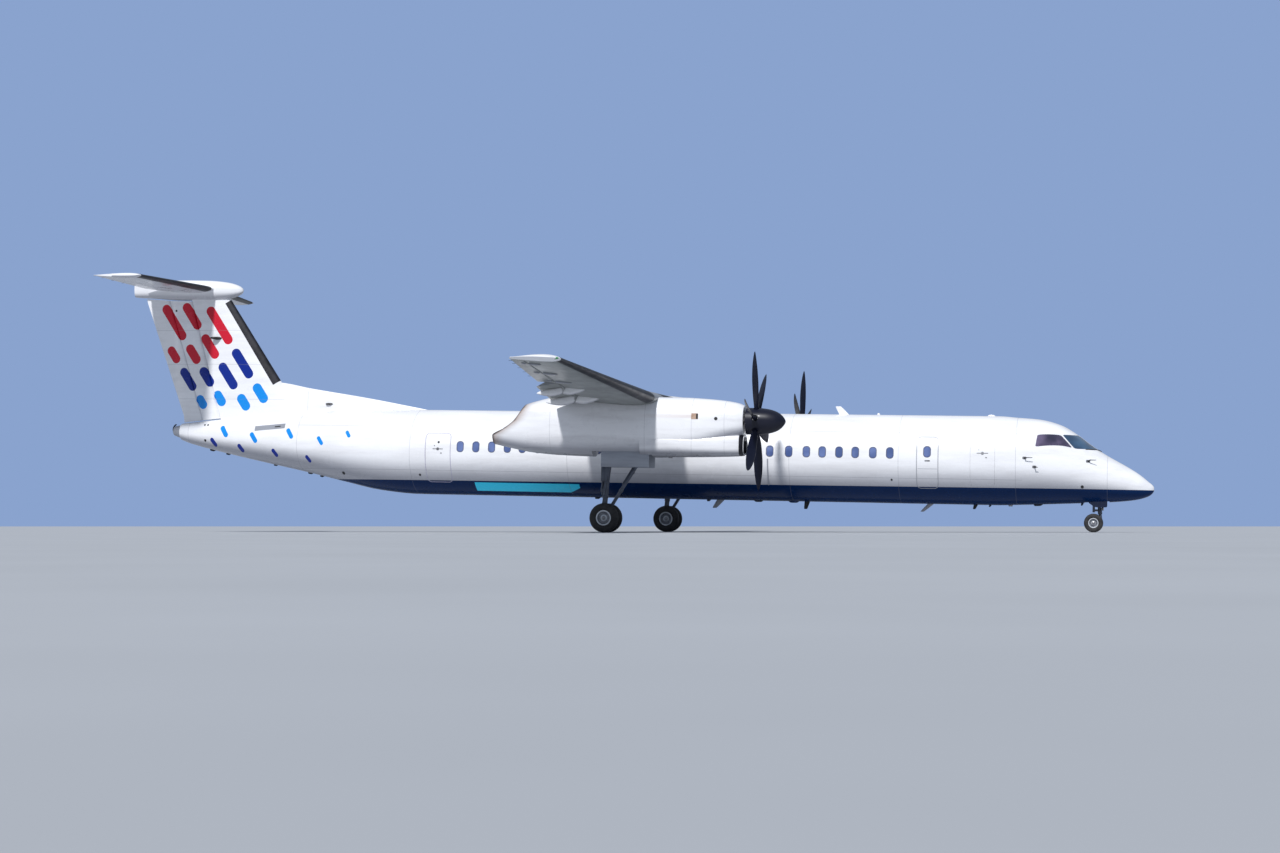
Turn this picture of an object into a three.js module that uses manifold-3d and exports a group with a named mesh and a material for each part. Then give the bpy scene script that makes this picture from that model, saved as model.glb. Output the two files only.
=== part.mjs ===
// A high-wing regional airliner with two turboprops and a T-tail, parked on its wheels.
// Lengths are millimetres. The airframe is drawn level, nose along +X, left wing along +Y, +Z up, with
// its own origin on the cabin's axis at mid-length. The last group tips it nose down on its tyres.
import * as THREE from "three";
import { mergeVertices } from "three/addons/utils/BufferGeometryUtils.js";
import Module from "manifold-3d";

const wasm = await Module();
wasm.setup();

// Gaps
const seatGap = 0.3; // between pieces that rest on each other
const pinGap = 0.5; // beside a hinge tongue or a wheel hub
const moveGap = 14; // round a piece that moves
const flapEndGap = 26; // at a flap's outer end, which swings outwards as it drops

// Wheels
const mainAxle = { x: 720, y: 4400, z: -1970 };
const noseAxle = { x: 14660, z: -1820 };
const mainWheel = { radius: 430, width: 236, rim: 226, twin: 470, axle: 38, sides: 16 };
const noseWheel = { radius: 280, width: 166, rim: 150, twin: 340, axle: 26, sides: 16 };
const groundTilt =
  Math.atan2(noseAxle.z - mainAxle.z, noseAxle.x - mainAxle.x) +
  Math.asin(
    (mainWheel.radius - noseWheel.radius) /
      Math.hypot(noseAxle.x - mainAxle.x, noseAxle.z - mainAxle.z),
  );
const balanceShift = -68; // puts the origin under the middle of the length
const jackPads = {
  nose: { x: 12200, from: -1200, to: -1372, radius: 60 },
  main: { x: 2620, from: -60, to: -186, radius: 60 },
};

// Fuselage
const fuselageSides = 22;
const fuselageStations = table("x top bottom half waist", [
  [16415, -735, -825, 40, -780],
  [16365, -655, -915, 115, -782],
  [16270, -577, -990, 200, -785],
  [15900, -290, -1108, 430, -730],
  [15520, -65, -1160, 605, -640],
  [15020, 210, -1200, 790, -520],
  [14520, 546, -1230, 940, -400],
  [14270, 736, -1240, 1010, -340],
  [13640, 1105, -1270, 1160, -180],
  [13010, 1260, -1300, 1255, -80],
  [12380, 1305, -1325, 1315, -30],
  [11800, 1345, -1345, 1345, 0],
  [-6400, 1345, -1345, 1345, 0],
  [-7750, 1345, -1237, 1310, 30],
  [-8900, 1325, -1000, 1215, 90],
  [-10200, 1255, -716, 1040, 190],
  [-11800, 1120, -398, 780, 310],
  [-13300, 960, -86, 510, 430],
  [-14300, 850, 154, 335, 500],
  [-14620, 810, 265, 270, 535],
  [-14900, 755, 365, 185, 560],
]);
const tailConeFrom = -14300;
const skinDepth = 80; // a door's thickness
const glassDepth = 28;
const skinCore = 30; // the least half width of an inner skin
const acrossFrom = 400; // doors and side glass are cut across the ship between these two places
const acrossTo = 1800;

// Doors: place of the middle, width, sill and head heights, side (1 is left), clear gap round it
const doors = {
  airstair_door: { x: 10300, width: 760, sill: -920, head: 760, side: 1, gap: 14 },
  rear_passenger_door: { x: -5470, width: 710, sill: -920, head: 760, side: 1, gap: 4 },
  rear_baggage_door: { x: -7600, width: 1270, sill: -850, head: 650, side: 1, gap: 4 },
  rear_service_door: { x: -5470, width: 790, sill: -940, head: 550, side: -1, gap: 4 },
  emergency_exit: { x: 9800, width: 610, sill: -870, head: 630, side: -1, gap: 4 },
  front_baggage_door: { x: 11430, width: 720, sill: -800, head: 680, side: -1, gap: 4 },
};
const doorCorner = 110;
const airstair = {
  inset: 25,
  depth: 37,
  knuckle: 20,
  knuckleReach: 30,
  notch: 60,
  room: 26,
  below: 46,
  behind: 26,
  relief: 130,
};

// Cockpit glass, as heights on the skin: the side window in x, z and the windscreen's four corners
const sideWindow = [
  [12970, 410],
  [14030, 390],
  [13690, 760],
  [13020, 760],
];
const windscreen = {
  post: 50,
  insideTop: 14150,
  insideBottom: 14570,
  outside: [[14110, 370], [13740, 780]],
  reach: 350,
  gap: 6,
};
const sideWindowGrowth = 1.012;

// Wing, one side: place along the span, leading edge, chord, height of the chord line, thickness ratio
const wingStations = table("y lead chord z ratio", [
  [0, 2290, 2990, 1530, 0.18],
  [4900, 2280, 2980, 1530, 0.17],
  [14000, 1714, 1320, 2048, 0.13],
  [14210, 1560, 1090, 2062, 0.1],
]);
const wingCamber = 0.02;
const notchReach = 600; // how far the rear notches run above and below the chord line
const wingJoint = 4900;
const flapFront = 0.72; // of the chord
const shroudEnd = 0.82;
const shroudDepth = 16;
const shroudOverlap = 0.02; // how far the notch under the shroud runs past it
const flaps = {
  inboard_flap: { from: 1400, to: 3740, brackets: [1560, 3560] },
  outboard_flap: { from: 5060, to: 8950, brackets: [6050, 8050] },
};
const flapRest = 15; // degrees down
const flapCrown = 0.86; // where a flap's sloping front meets its upper skin, of the chord
const flapHinge = { back: 0.04, drop: 0.087 }; // behind the cut and below the chord line, of the chord
const aileron = { from: 8985, to: 13700, front: 0.74, hinges: [9500, 11300, 13200] };

// Fairing of the wing on the cabin roof
const wingFairing = table("x top bottom half waist", [
  [3950, 1340, 1000, 260, 1150],
  [3300, 1530, 700, 640, 1000],
  [2500, 1760, 500, 900, 900],
  [1000, 1890, 500, 960, 900],
  [-700, 1790, 500, 900, 900],
  [-1700, 1580, 700, 700, 1000],
  [-2700, 1350, 1000, 280, 1150],
]);

// Nacelles
const nacelleSides = 18;
const spinnerSides = 14;
const nacelleStations = table("x top bottom half waist", [
  [4810, 1375, -75, 400, 700],
  [4720, 1430, -100, 455, 690],
  [4200, 1510, -125, 560, 680],
  [3080, 1585, -150, 620, 680],
  [540, 1600, -176, 620, 690],
  [-650, 1590, -150, 605, 700],
  [-1500, 1420, -85, 560, 690],
  [-2300, 1120, 60, 470, 620],
  [-2700, 960, 148, 410, 560],
]);
const exhaust = { top: [-1810, 1150], bottom: [-2690, 150], depth: 380, half: 270, tall: 460, rise: 40 };
const intake = { back: 4000, front: 5000, half: 300, low: -30, high: 330 };
const engineBay = { back: 2350, front: 4560, half: 470, low: 170, high: 1340 };
const engineBlock = { half: 385, front: 60, low: 210, high: 40 }; // gaps to the bay's front, floor and roof
const shaft = { back: 4400, front: 5000, bore: 90, radius: 70 };
const gearWell = { back: 350, front: 2150, half: 425.3, low: -700, high: 780 };

// Propellers
const shaftHeight = 920;
const propellerPlane = 5150;
const hubRadius = 165;
const spinnerBack = -285; // from the propeller's plane
const spinnerProfile = table("x r", [
  [-285, 388],
  [60, 386],
  [430, 308],
  [690, 182],
  [820, 66],
]);
const spinnerTip = 850;
const spinnerWall = 14;
const spinnerHole = { from: 300, to: 460, radius: 92 };
const backplate = 24;
const hubFront = 130;
const shaftEnd = propellerPlane + spinnerBack - pinGap;
const bladeStations = table("r chord thick pitch sweep", [
  [120, 146, 146, 60, 0],
  [400, 150, 110, 56, 0],
  [680, 232, 50, 49, -14],
  [1250, 266, 30, 40, -20],
  [1800, 214, 16, 33, 26],
  [2055, 84, 7, 31, 92],
]);
const bladeSides = 6;
const bladeCount = 6;
const firstBlade = { left: -3, right: 17.5 }; // degrees from upright

// Landing gear
const mainLeg = { top: [800, 250], elbow: [670, -1650], radius: 64, piston: 48, trunnion: 46 };
const mainStay = { top: [1950, 120], bottom: [905, -1575], radius: 36, eye: 44, eyeHalf: 42 };
const stayLug = { half: 30, low: -1610, high: -1545 };
const mainGearDoor = { back: 630, front: 2070, low: -480, high: 20, thick: 25 };
const noseBay = { back: 14380, front: 15120, half: 240, low: -1600, high: -740 };
const noseLeg = { top: [14750, -740], foot: [14852, -1560], radius: 52, collar: 44, collarLength: 190 };
const noseBlock = { long: 110, half: 90, tall: 60, trunnion: 40, drop: 90 };
const forkArm = { from: 150, radius: 38 };
const noseBrace = { top: [15040, -900], bottom: [14822, -1330], radius: 26 };
const towFitting = { front: 14790, half: 27 };
const noseGearDoor = { back: 14500, front: 15050, low: -1430, high: -1120, thick: 22 };

// Fin and rudders, by height: leading and trailing edges run straight between two rows
const finFoot = 700;
const finTop = 4950;
const finStations = table("z lead tail", [
  [finFoot, -10220, -14465],
  [finTop, -13115, -16058],
]);
const finRatio = 0.1;
const dorsal = table("x top half", [
  [-6000, 1300, 20],
  [-8130, 1680, 70],
  [-10170, 1990, 120],
  [-11450, 2190, 150],
  [-12100, 2190, 150],
]);
const dorsalFoot = 900;
const rudderSpan = [1080, 4740];
const foreHinge = { low: [-13400, 1000], high: [-14500, 4800] };
const trailingHinge = { low: [-14000, 1000], high: [-15250, 4800] };
const rudderTongues = [1500, 2900, 4300];
const tongueShift = 120; // of the trailing rudder's tongues above the fore rudder's

// Bullet fairing, tailplane and elevator
const tailHeight = 5200;
const tailSpan = 4635;
const bulletSides = 16;
const bulletPower = 2.4;
const bulletStations = table("x top bottom half waist", [
  [-12650, 5200, 5140, 30, 5170],
  [-12800, 5330, 5010, 150, 5170],
  [-13200, 5440, 4900, 255, 5175],
  [-13900, 5500, 4840, 315, 5180],
  [-14900, 5510, 4850, 300, 5190],
  [-15700, 5505, 4905, 235, 5210],
  [-16300, 5500, 4935, 165, 5220],
  [-16415, 5490, 4950, 145, 5220],
]);
const tailplaneStations = table("y lead chord z ratio", [
  [0, -13520, 2400, tailHeight, 0.11],
  [tailSpan, -14180, 1520, tailHeight, 0.1],
]);
const elevator = { hinge: -15120, from: 330, to: 4600, overlap: 40, tube: 34, tongues: [1300, 3700] };

const paints = {
  white: { color: 0xeef0f2, roughness: 0.3, metalness: 0 },
  grey: { color: 0x8f959b, roughness: 0.5, metalness: 0.2 },
  wingGrey: { color: 0xc9ccce, roughness: 0.45, metalness: 0.1 },
  blue: { color: 0x10204a, roughness: 0.35, metalness: 0 },
  black: { color: 0x15171a, roughness: 0.5, metalness: 0.1 },
  glass: { color: 0x1a2026, roughness: 0.1, metalness: 0.1 },
  metal: { color: 0x6d7277, roughness: 0.45, metalness: 0.7 },
  rubber: { color: 0x1c1c1d, roughness: 0.85, metalness: 0 },
};

// Rows of numbers as rows with named columns.
function table(columns, rows) {
  const names = columns.split(" ");
  return rows.map((row) => Object.fromEntries(names.map((name, i) => [name, row[i]])));
}

// The row of a table at any place along one of its columns, straight between its neighbours.
function rowAt(rows, column, value) {
  const rising = rows[0][column] < rows[1][column];
  const past = rows.findIndex((row) => (rising ? row[column] >= value : row[column] <= value));
  const next = past < 0 ? rows.length - 1 : Math.max(past, 1);
  const [a, b] = [rows[next - 1], rows[next]];
  const part = (value - a[column]) / (b[column] - a[column]);
  const mixed = Object.keys(a).map((name) => [name, a[name] + (b[name] - a[name]) * part]);
  return Object.fromEntries(mixed);
}

// Solids. A geometry's corners are merged and its flat faces dropped before it becomes one.
function solid(geometry) {
  const bare = geometry.index ? geometry.toNonIndexed() : geometry.clone();
  bare.deleteAttribute("normal");
  bare.deleteAttribute("uv");
  const merged = mergeVertices(bare, 1e-3);
  const at = (i) => new THREE.Vector3().fromBufferAttribute(merged.attributes.position, i);
  const faces = [];
  let volume = 0;
  for (let i = 0; i < merged.index.count; i += 3) {
    const [a, b, c] = [0, 1, 2].map((k) => merged.index.getX(i + k));
    if (a === b || b === c || a === c) continue;
    faces.push([a, b, c]);
    volume += at(a).dot(at(b).cross(at(c)));
  }
  return new wasm.Manifold(
    new wasm.Mesh({
      numProp: 3,
      vertProperties: merged.attributes.position.array,
      triVerts: new Uint32Array((volume < 0 ? faces.map((face) => face.reverse()) : faces).flat()),
    }),
  );
}

function join(first, ...others) {
  return others.reduce((whole, piece) => whole.add(piece), first);
}

function cut(first, ...tools) {
  return tools.reduce((rest, tool) => rest.subtract(tool), first);
}

// The largest body of a solid, without the crumbs that a cut may leave.
function largest(body) {
  return body.decompose().sort((a, b) => b.volume() - a.volume())[0];
}

function geometryOf(body) {
  const { vertProperties, numProp, triVerts } = body.getMesh();
  const places = [];
  for (let i = 0; i < vertProperties.length; i += numProp) {
    places.push(vertProperties[i], vertProperties[i + 1], vertProperties[i + 2]);
  }
  return new THREE.BufferGeometry()
    .setAttribute("position", new THREE.Float32BufferAttribute(places, 3))
    .setIndex([...triVerts]);
}

// A closed body through rings of equal counts of points, its two ends capped from side to side.
function loft(rings) {
  const count = rings[0].length;
  const faces = [];
  for (let ring = 0; ring < rings.length - 1; ring++) {
    for (let i = 0; i < count; i++) {
      const a = ring * count + i;
      const b = ring * count + ((i + 1) % count);
      faces.push(a, b, b + count, a, b + count, a + count);
    }
  }
  const last = (rings.length - 1) * count;
  let [low, high] = [0, count - 1];
  while (high - low > 1) {
    const third = low < count - 1 - high ? low + 1 : high - 1;
    faces.push(low, high, third);
    faces.push(last + low, last + third, last + high);
    if (third === low + 1) low = third;
    else high = third;
  }
  const geometry = new THREE.BufferGeometry()
    .setAttribute("position", new THREE.Float32BufferAttribute(rings.flat(2), 3))
    .setIndex(faces);
  return solid(geometry);
}

// A round-sided ring in the plane of one x, its upper and lower halves meeting at the waist.
function bodyRing(row, sides, { power = 2, grow = 0, y = 0 } = {}) {
  const ring = [];
  for (let i = 0; i < sides; i++) {
    const angle = (i / sides) * 2 * Math.PI;
    const bend = (v) => Math.sign(v) * Math.abs(v) ** (2 / power);
    const tall = Math.cos(angle) > 0 ? row.top - row.waist : row.waist - row.bottom;
    ring.push([
      row.x,
      y + bend(Math.sin(angle)) * (row.half + grow),
      row.waist + bend(Math.cos(angle)) * (tall + grow),
    ]);
  }
  return ring;
}

// The outline of an aerofoil between two fractions of its chord, as distances behind the leading edge
// and above the chord line. It runs from the back over the top to the front and back underneath.
// The front is the leading edge, a flat face, a round nose or a flap's low nose with a sloping crown.
function slice({ chord, ratio, camber = 0 }, { from = 0, to = 1, nose = "flat", grow = 0, steps = 6 }) {
  const halfAt = (f) => {
    const shape =
      0.2969 * Math.sqrt(f) - 0.126 * f - 0.3516 * f ** 2 + 0.2843 * f ** 3 - 0.1036 * f ** 4;
    return Math.max(5 * ratio * chord * shape, 4) + grow;
  };
  const middleAt = (f) => 4 * camber * chord * f * (1 - f);
  const flat = nose === "flat";
  const radius = halfAt(from) * (nose === "low" ? 0.55 : 1);
  const start = flat ? from : from + radius / chord;
  const crown = nose === "low" ? flapCrown : start;
  const stretch = (first, part) =>
    first + (to - first) * (from === 0 ? 1 - Math.cos((part * Math.PI) / 2) : part);
  const [top, under] = [[], []];
  for (let i = 0; i <= steps; i++) {
    const [f, g] = [stretch(crown, i / steps), stretch(start, i / steps)];
    const past = i === steps ? grow : 0;
    top.push([f * chord + past, middleAt(f) + halfAt(f)]);
    under.push([g * chord + past, middleAt(g) - halfAt(g)]);
  }
  const front = [];
  if (from === 0) {
    top.shift();
    under.shift();
    front.push([-grow, middleAt(0)]);
  } else if (!flat) {
    const middle = middleAt(start) - halfAt(start) + radius;
    for (const angle of [15, 60, 110, 150]) {
      const turn = THREE.MathUtils.degToRad(angle);
      front.push([start * chord - radius * Math.sin(turn), middle + radius * Math.cos(turn)]);
    }
  }
  return [...top.reverse(), ...front, ...under];
}

function box(x0, x1, y0, y1, z0, z1) {
  const shape = new THREE.BoxGeometry(x1 - x0, y1 - y0, z1 - z0);
  return solid(shape.translate((x0 + x1) / 2, (y0 + y1) / 2, (z0 + z1) / 2));
}

// A round bar between two points.
function rod(from, to, radius, sides = 12) {
  const [a, b] = [new THREE.Vector3(...from), new THREE.Vector3(...to)];
  const along = b.clone().sub(a);
  const shape = new THREE.CylinderGeometry(radius, radius, along.length(), sides);
  const turn = new THREE.Quaternion().setFromUnitVectors(
    new THREE.Vector3(0, 1, 0),
    along.clone().normalize(),
  );
  shape.applyQuaternion(turn);
  return solid(shape.translate(...a.add(b).multiplyScalar(0.5).toArray()));
}

// A turned body about the x axis, or the y axis, from rows of place along the axis and radius.
function turned(profile, sides, axis = "x") {
  const shape = new THREE.LatheGeometry(
    profile.map(([along, radius]) => new THREE.Vector2(radius, along)),
    sides,
    Math.PI / sides,
  );
  return solid(axis === "x" ? shape.rotateZ(-Math.PI / 2) : shape);
}

// A flat plate with a many-sided outline in x and z, between two places across the ship.
function plate(outline, y0, y1) {
  return loft([outline.map(([x, z]) => [x, y0, z]), outline.map(([x, z]) => [x, y1, z])]);
}

const airliner = new THREE.Group();
const airframe = new THREE.Group();

function add(name, body, paint, parent = airframe) {
  const mesh = new THREE.Mesh(geometryOf(body), new THREE.MeshStandardMaterial(paints[paint]));
  mesh.name = name;
  parent.add(mesh);
  return mesh;
}

// The fuselage's skin moved outwards, or inwards where grow is negative.
function skin(grow = 0, rows = fuselageStations) {
  const ring = (row) => bodyRing(row, fuselageSides, { grow: Math.max(grow, skinCore - row.half) });
  return loft(rows.map(ring));
}

// How far out the skin is at a place seen from the side.
function skinWidth(x, z) {
  const row = rowAt(fuselageStations, "x", x);
  const tall = z > row.waist ? row.top - row.waist : row.waist - row.bottom;
  return row.half * Math.sqrt(Math.max(0, 1 - ((z - row.waist) / tall) ** 2));
}

// A rounded rectangle in x and z, grown on every side by a gap.
function doorOutline({ x, width, sill, head }, gap, below = gap) {
  const outline = [];
  const corner = doorCorner + gap;
  const [low, high] = [sill - below + corner, head + gap - corner];
  const wide = width / 2 + gap - corner;
  for (const [turn, cx, cz] of [[0, wide, high], [1, -wide, high], [2, -wide, low], [3, wide, low]]) {
    for (const step of [0, 1, 2]) {
      const angle = ((turn + step / 2) * Math.PI) / 2;
      outline.push([x + cx + corner * Math.cos(angle), cz + corner * Math.sin(angle)]);
    }
  }
  return outline;
}

function acrossSide(outline, side) {
  return plate(outline, side * acrossFrom, side * acrossTo);
}

// The windscreen's corners on the skin, and the block that cuts its pane out of it.
function windscreenBlock(side, grow) {
  const heightAt = (x) => rowAt(fuselageStations, "x", x).top;
  const { post, insideTop, insideBottom, outside, reach } = windscreen;
  const corners = [
    [insideTop, side * post, heightAt(insideTop)],
    [insideBottom, side * post, heightAt(insideBottom)],
    ...outside.map(([x, z]) => [x, side * skinWidth(x, z), z]),
  ].map((corner) => new THREE.Vector3(...corner));
  const middle = corners.reduce((sum, p) => sum.add(p), new THREE.Vector3()).divideScalar(4);
  const out = corners[2].clone().sub(corners[0]).cross(corners[3].clone().sub(corners[1])).normalize();
  const grown = corners.map((p) => {
    const away = p.clone().sub(middle);
    return p.clone().addScaledVector(away.normalize(), grow);
  });
  const ring = (distance) => grown.map((p) => p.clone().addScaledVector(out, distance).toArray());
  return loft([ring(-reach), ring(reach)]);
}

// Wing pieces. A wing row at any place along the span, a ring in its plane, and the rear notches.
function wingRow(y) {
  return { ...rowAt(wingStations, "y", Math.abs(y)), camber: wingCamber, y };
}

function spanRing(row, options) {
  return slice(row, options).map(([back, up]) => [row.lead - back, row.y, row.z + up]);
}

function wingBody(places, grow = 0) {
  return loft(places.map((y) => spanRing(wingRow(y), { grow, steps: 7 })));
}

// The space behind a fraction of the chord, all of it or only what lies below the upper skin.
function rearNotch(y0, y1, front, belowSkin = false) {
  const rings = [y0, y1].map((y) => {
    const row = wingRow(y);
    const x = row.lead - front * row.chord;
    const notchEnd = shroudEnd + shroudOverlap;
    const back = row.lead - (belowSkin ? notchEnd : 1.2) * row.chord;
    const over = slice(row, { from: front, to: notchEnd, steps: 1 });
    const [highBack, highFront] = belowSkin
      ? [row.z + over[0][1] - shroudDepth, row.z + over[1][1] - shroudDepth]
      : [row.z + notchReach, row.z + notchReach];
    return [
      [x, y, row.z - notchReach],
      [x, y, highFront],
      [back, y, highBack],
      [back, y, row.z - notchReach],
    ];
  });
  return loft(rings);
}

// A hinge's own frame at a place: forward, up, and along the hinge line.
function hingeFrame(point, along, towards = new THREE.Vector3(1, 0, 0)) {
  const axis = along.clone().normalize();
  const forward = towards.clone().addScaledVector(axis, -towards.dot(axis)).normalize();
  const up = forward.clone().cross(axis).multiplyScalar(axis.y < 0 ? -1 : 1);
  return new THREE.Matrix4().makeBasis(forward, up, axis).setPosition(point);
}

function placed(body, matrix) {
  return solid(geometryOf(body).applyMatrix4(matrix));
}

// A tongue that stands out of a fixed surface at a hinge line, and the slot for it in the moving one.
function tongue(frame, radius) {
  const width = 12;
  const reach = radius + moveGap + 40;
  const slotBack = 0.75 * radius + 8;
  const inner = width + pinGap;
  return {
    plate: placed(box(-0.5 * radius, reach, -0.45 * radius, 0.45 * radius, -width, width), frame),
    slot: placed(box(-slotBack, reach, -3 * radius, 3 * radius, -inner, inner), frame),
  };
}

// A flap's hinge line at a place along the span.
function flapHingePoint(y) {
  const row = wingRow(y);
  const x = row.lead - (flapFront + flapHinge.back) * row.chord;
  return new THREE.Vector3(x, y, row.z - flapHinge.drop * row.chord);
}

// A flap bracket in its hinge's frame, for a chord of one: the fixed fairing and the flap's own arm.
const bracketShapes = {
  fixed: [
    [0.0162, -0.014],
    [0.1, -0.0235],
    [0.215, 0.0067],
    [0.302, 0.0587],
    [0.302, 0.072],
    [0.0455, 0.072],
    [0.0168, 0.0134],
  ],
  arm: [
    [0.01, 0],
    [0, -0.0107],
    [-0.074, -0.011],
    [-0.17, 0.034],
    [-0.235, 0.082],
    [-0.2, 0.0855],
    [0.0168, 0.0687],
  ],
};

function flapBracket(y, along) {
  const frame = hingeFrame(flapHingePoint(y), along);
  const size = wingRow(y).chord;
  const half = 0.019 * size;
  const inner = 0.007 * size;
  const shape = (outline) =>
    loft([-half, half].map((side) => outline.map(([x, z]) => [x * size, z * size, side])));
  const tab = box(-0.0067 * size, 0.03 * size, -0.006 * size, 0.006 * size, -inner, inner);
  const room = box(
    -0.015 * size,
    0.03 * size,
    -0.021 * size,
    0.022 * size,
    -inner - pinGap,
    inner + pinGap,
  );
  return {
    fixed: placed(join(shape(bracketShapes.fixed), tab), frame),
    arm: placed(cut(shape(bracketShapes.arm), room), frame),
  };
}

// A piece built at the hinge's zero and turned about it.
function turnMesh(mesh, point, along, degrees) {
  const axis = along.clone().normalize();
  const turn = new THREE.Matrix4().makeRotationAxis(axis, THREE.MathUtils.degToRad(degrees));
  const there = new THREE.Matrix4().makeTranslation(...point.toArray());
  const back = new THREE.Matrix4().makeTranslation(...point.clone().negate().toArray());
  mesh.applyMatrix4(there.multiply(turn).multiply(back));
}

function addWing() {
  const joint = wingJoint - seatGap / 2;
  let center = wingBody([-joint, 0, joint]);
  for (const side of [-1, 1]) {
    const hand = side > 0 ? "left" : "right";
    const [knee, tip] = wingStations.slice(-2).map((row) => side * row.y);
    let outer = wingBody([side * (wingJoint + seatGap / 2), knee, tip]);
    for (const [name, flap] of Object.entries(flaps)) {
      const [y0, y1] = [side * flap.from, side * flap.to];
      const notches = [rearNotch(y0, y1, flapFront, true), rearNotch(y0, y1, shroudEnd)];
      const along = flapHingePoint(y1).sub(flapHingePoint(y0));
      const brackets = flap.brackets.map((y) => flapBracket(side * y, along));
      const fixed = brackets.map((bracket) => bracket.fixed);
      const arms = brackets.map((bracket) => bracket.arm);
      if (name === "inboard_flap") center = join(cut(center, ...notches), ...fixed);
      else outer = join(cut(outer, ...notches), ...fixed);
      const rings = [y0 + side * moveGap, y1 - side * flapEndGap].map((y) => {
        const row = wingRow(y);
        return spanRing(row, { from: flapFront + moveGap / row.chord, nose: "low", steps: 4 });
      });
      const mesh = add(`${name}_${hand}`, join(loft(rings), ...arms), "wingGrey");
      turnMesh(mesh, flapHingePoint(y0), along, -side * flapRest);
    }
    const parts = aileronParts(side);
    outer = join(cut(outer, parts.notch), ...parts.tongues);
    add(`aileron_${hand}`, parts.body, "wingGrey");
    add(`outer_wing_${hand}`, largest(outer), "wingGrey");
  }
  add("wing_center", largest(center), "wingGrey");
}

// An aileron's hinge line, the notch in the wing, the surface itself and its hinge tongues.
function aileronHinge(y) {
  const row = wingRow(y);
  const outline = slice(row, { from: aileron.front, to: 1, nose: "round", steps: 4 });
  const back = outline[4][0];
  const x = row.lead - back;
  return new THREE.Vector3(x, y, row.z + (outline[4][1] + outline[9][1]) / 2);
}

function aileronParts(side) {
  const [y0, y1] = [side * aileron.from, side * aileron.to];
  const cutFront = aileron.front - moveGap / wingRow(y1).chord;
  const along = aileronHinge(y1).sub(aileronHinge(y0));
  const rings = [y0 + side * moveGap, y1 - side * moveGap].map((y) =>
    spanRing(wingRow(y), { from: aileron.front, nose: "round", steps: 4 }),
  );
  const tongues = aileron.hinges.map((y) => {
    const radius = 0.045 * wingRow(y).chord;
    return tongue(hingeFrame(aileronHinge(side * y), along), radius);
  });
  return {
    notch: rearNotch(y0, y1, cutFront),
    body: cut(loft(rings), ...tongues.map((one) => one.slot)),
    tongues: tongues.map((one) => one.plate),
  };
}

// Everything of the fuselage's skin: its doors, glass, nose-gear bay and jacking pad.
function addFuselage(wing) {
  const frontRows = [
    ...fuselageStations.filter((row) => row.x > tailConeFrom),
    { ...rowAt(fuselageStations, "x", tailConeFrom), x: tailConeFrom + seatGap },
  ];
  const coneRows = fuselageStations.filter((row) => row.x <= tailConeFrom);
  add("tail_cone", skin(0, coneRows), "grey");

  let body = skin(0, frontRows);
  const inside = skin(-skinDepth);
  for (const [name, door] of Object.entries(doors)) {
    const opens = name === "airstair_door";
    const behind = opens ? airstair.behind : seatGap;
    const below = opens ? airstair.below : door.gap;
    const hole = acrossSide(doorOutline(door, door.gap, below), door.side);
    body = cut(body, cut(hole, skin(-skinDepth - behind)));
    let leaf = skin(0).intersect(acrossSide(doorOutline(door, 0), door.side)).subtract(inside);
    if (opens) {
      const hinge = airstairHinge();
      const reach = door.width / 2 + door.gap + airstair.knuckleReach;
      const inner = door.width / 2 - airstair.notch;
      body = cut(body, airstairRelief(door, hinge));
      for (const end of [-1, 1]) {
        const [near, far] = [door.x + end * inner, door.x + end * reach];
        const room = airstair.knuckle + airstair.room;
        const [y, z] = [hinge.y, hinge.z];
        const start = near + end * pinGap;
        body = join(body, rod([start, y, z], [far, y, z], airstair.knuckle, 10));
        const ends = [near, far].sort((a, b) => a - b);
        leaf = cut(leaf, box(...ends, y - room, y + room, z - room, z + room));
      }
    }
    add(name, largest(leaf), "white");
  }
  for (const side of [-1, 1]) {
    const hand = side > 0 ? "left" : "right";
    const shrink = skin(-glassDepth - seatGap);
    const middle = sideWindow.reduce(([x, z], p) => [x + p[0] / 4, z + p[1] / 4], [0, 0]);
    const wider = sideWindow.map((p) => p.map((v, i) => middle[i] + (v - middle[i]) * sideWindowGrowth));
    const panes = {
      side_window: [acrossSide(sideWindow, side), acrossSide(wider, side)],
      windscreen: [windscreenBlock(side, 0), windscreenBlock(side, windscreen.gap)],
    };
    for (const [name, [pane, opening]] of Object.entries(panes)) {
      add(`${name}_${hand}`, largest(cut(skin(0).intersect(pane), skin(-glassDepth))), "glass");
      body = cut(body, cut(opening, shrink));
    }
  }
  const { back, front, half, low, high } = noseBay;
  body = cut(body, box(back, front, -half, half, low, high), wing);
  body = join(body, jackPad(jackPads.nose, 0));
  add("fuselage", largest(body), "white");
}

// A round pad for a jack's head, under the belly or a nacelle.
function jackPad({ x, from, to, radius }, y) {
  return rod([x, y, from], [x, y, to], radius, 12);
}

// Room behind the airstair's hinge for the leaf's inner foot, which swings up as the door opens.
function airstairRelief(door, hinge) {
  const half = door.width / 2 + door.gap;
  const [x0, x1] = [door.x - half, door.x + half];
  const round = rod([x0, hinge.y, hinge.z], [x1, hinge.y, hinge.z], airstair.relief, 20);
  const low = door.sill - airstair.below;
  const inside = box(x0, x1, hinge.y - 2 * airstair.relief, hinge.y, low, low + 3 * airstair.relief);
  return round.intersect(inside);
}

// The airstair door's hinge line, just inside its lower outer edge.
function airstairHinge() {
  const door = doors.airstair_door;
  const z = door.sill + airstair.inset;
  return { y: skinWidth(door.x, z) - airstair.depth, z };
}

function addWingFairing(wing) {
  const rings = wingFairing.map((row) => bodyRing(row, 20, { power: 2.3 }));
  add("wing_fairing", largest(cut(loft(rings), wing, skin(seatGap))), "white");
}

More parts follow.
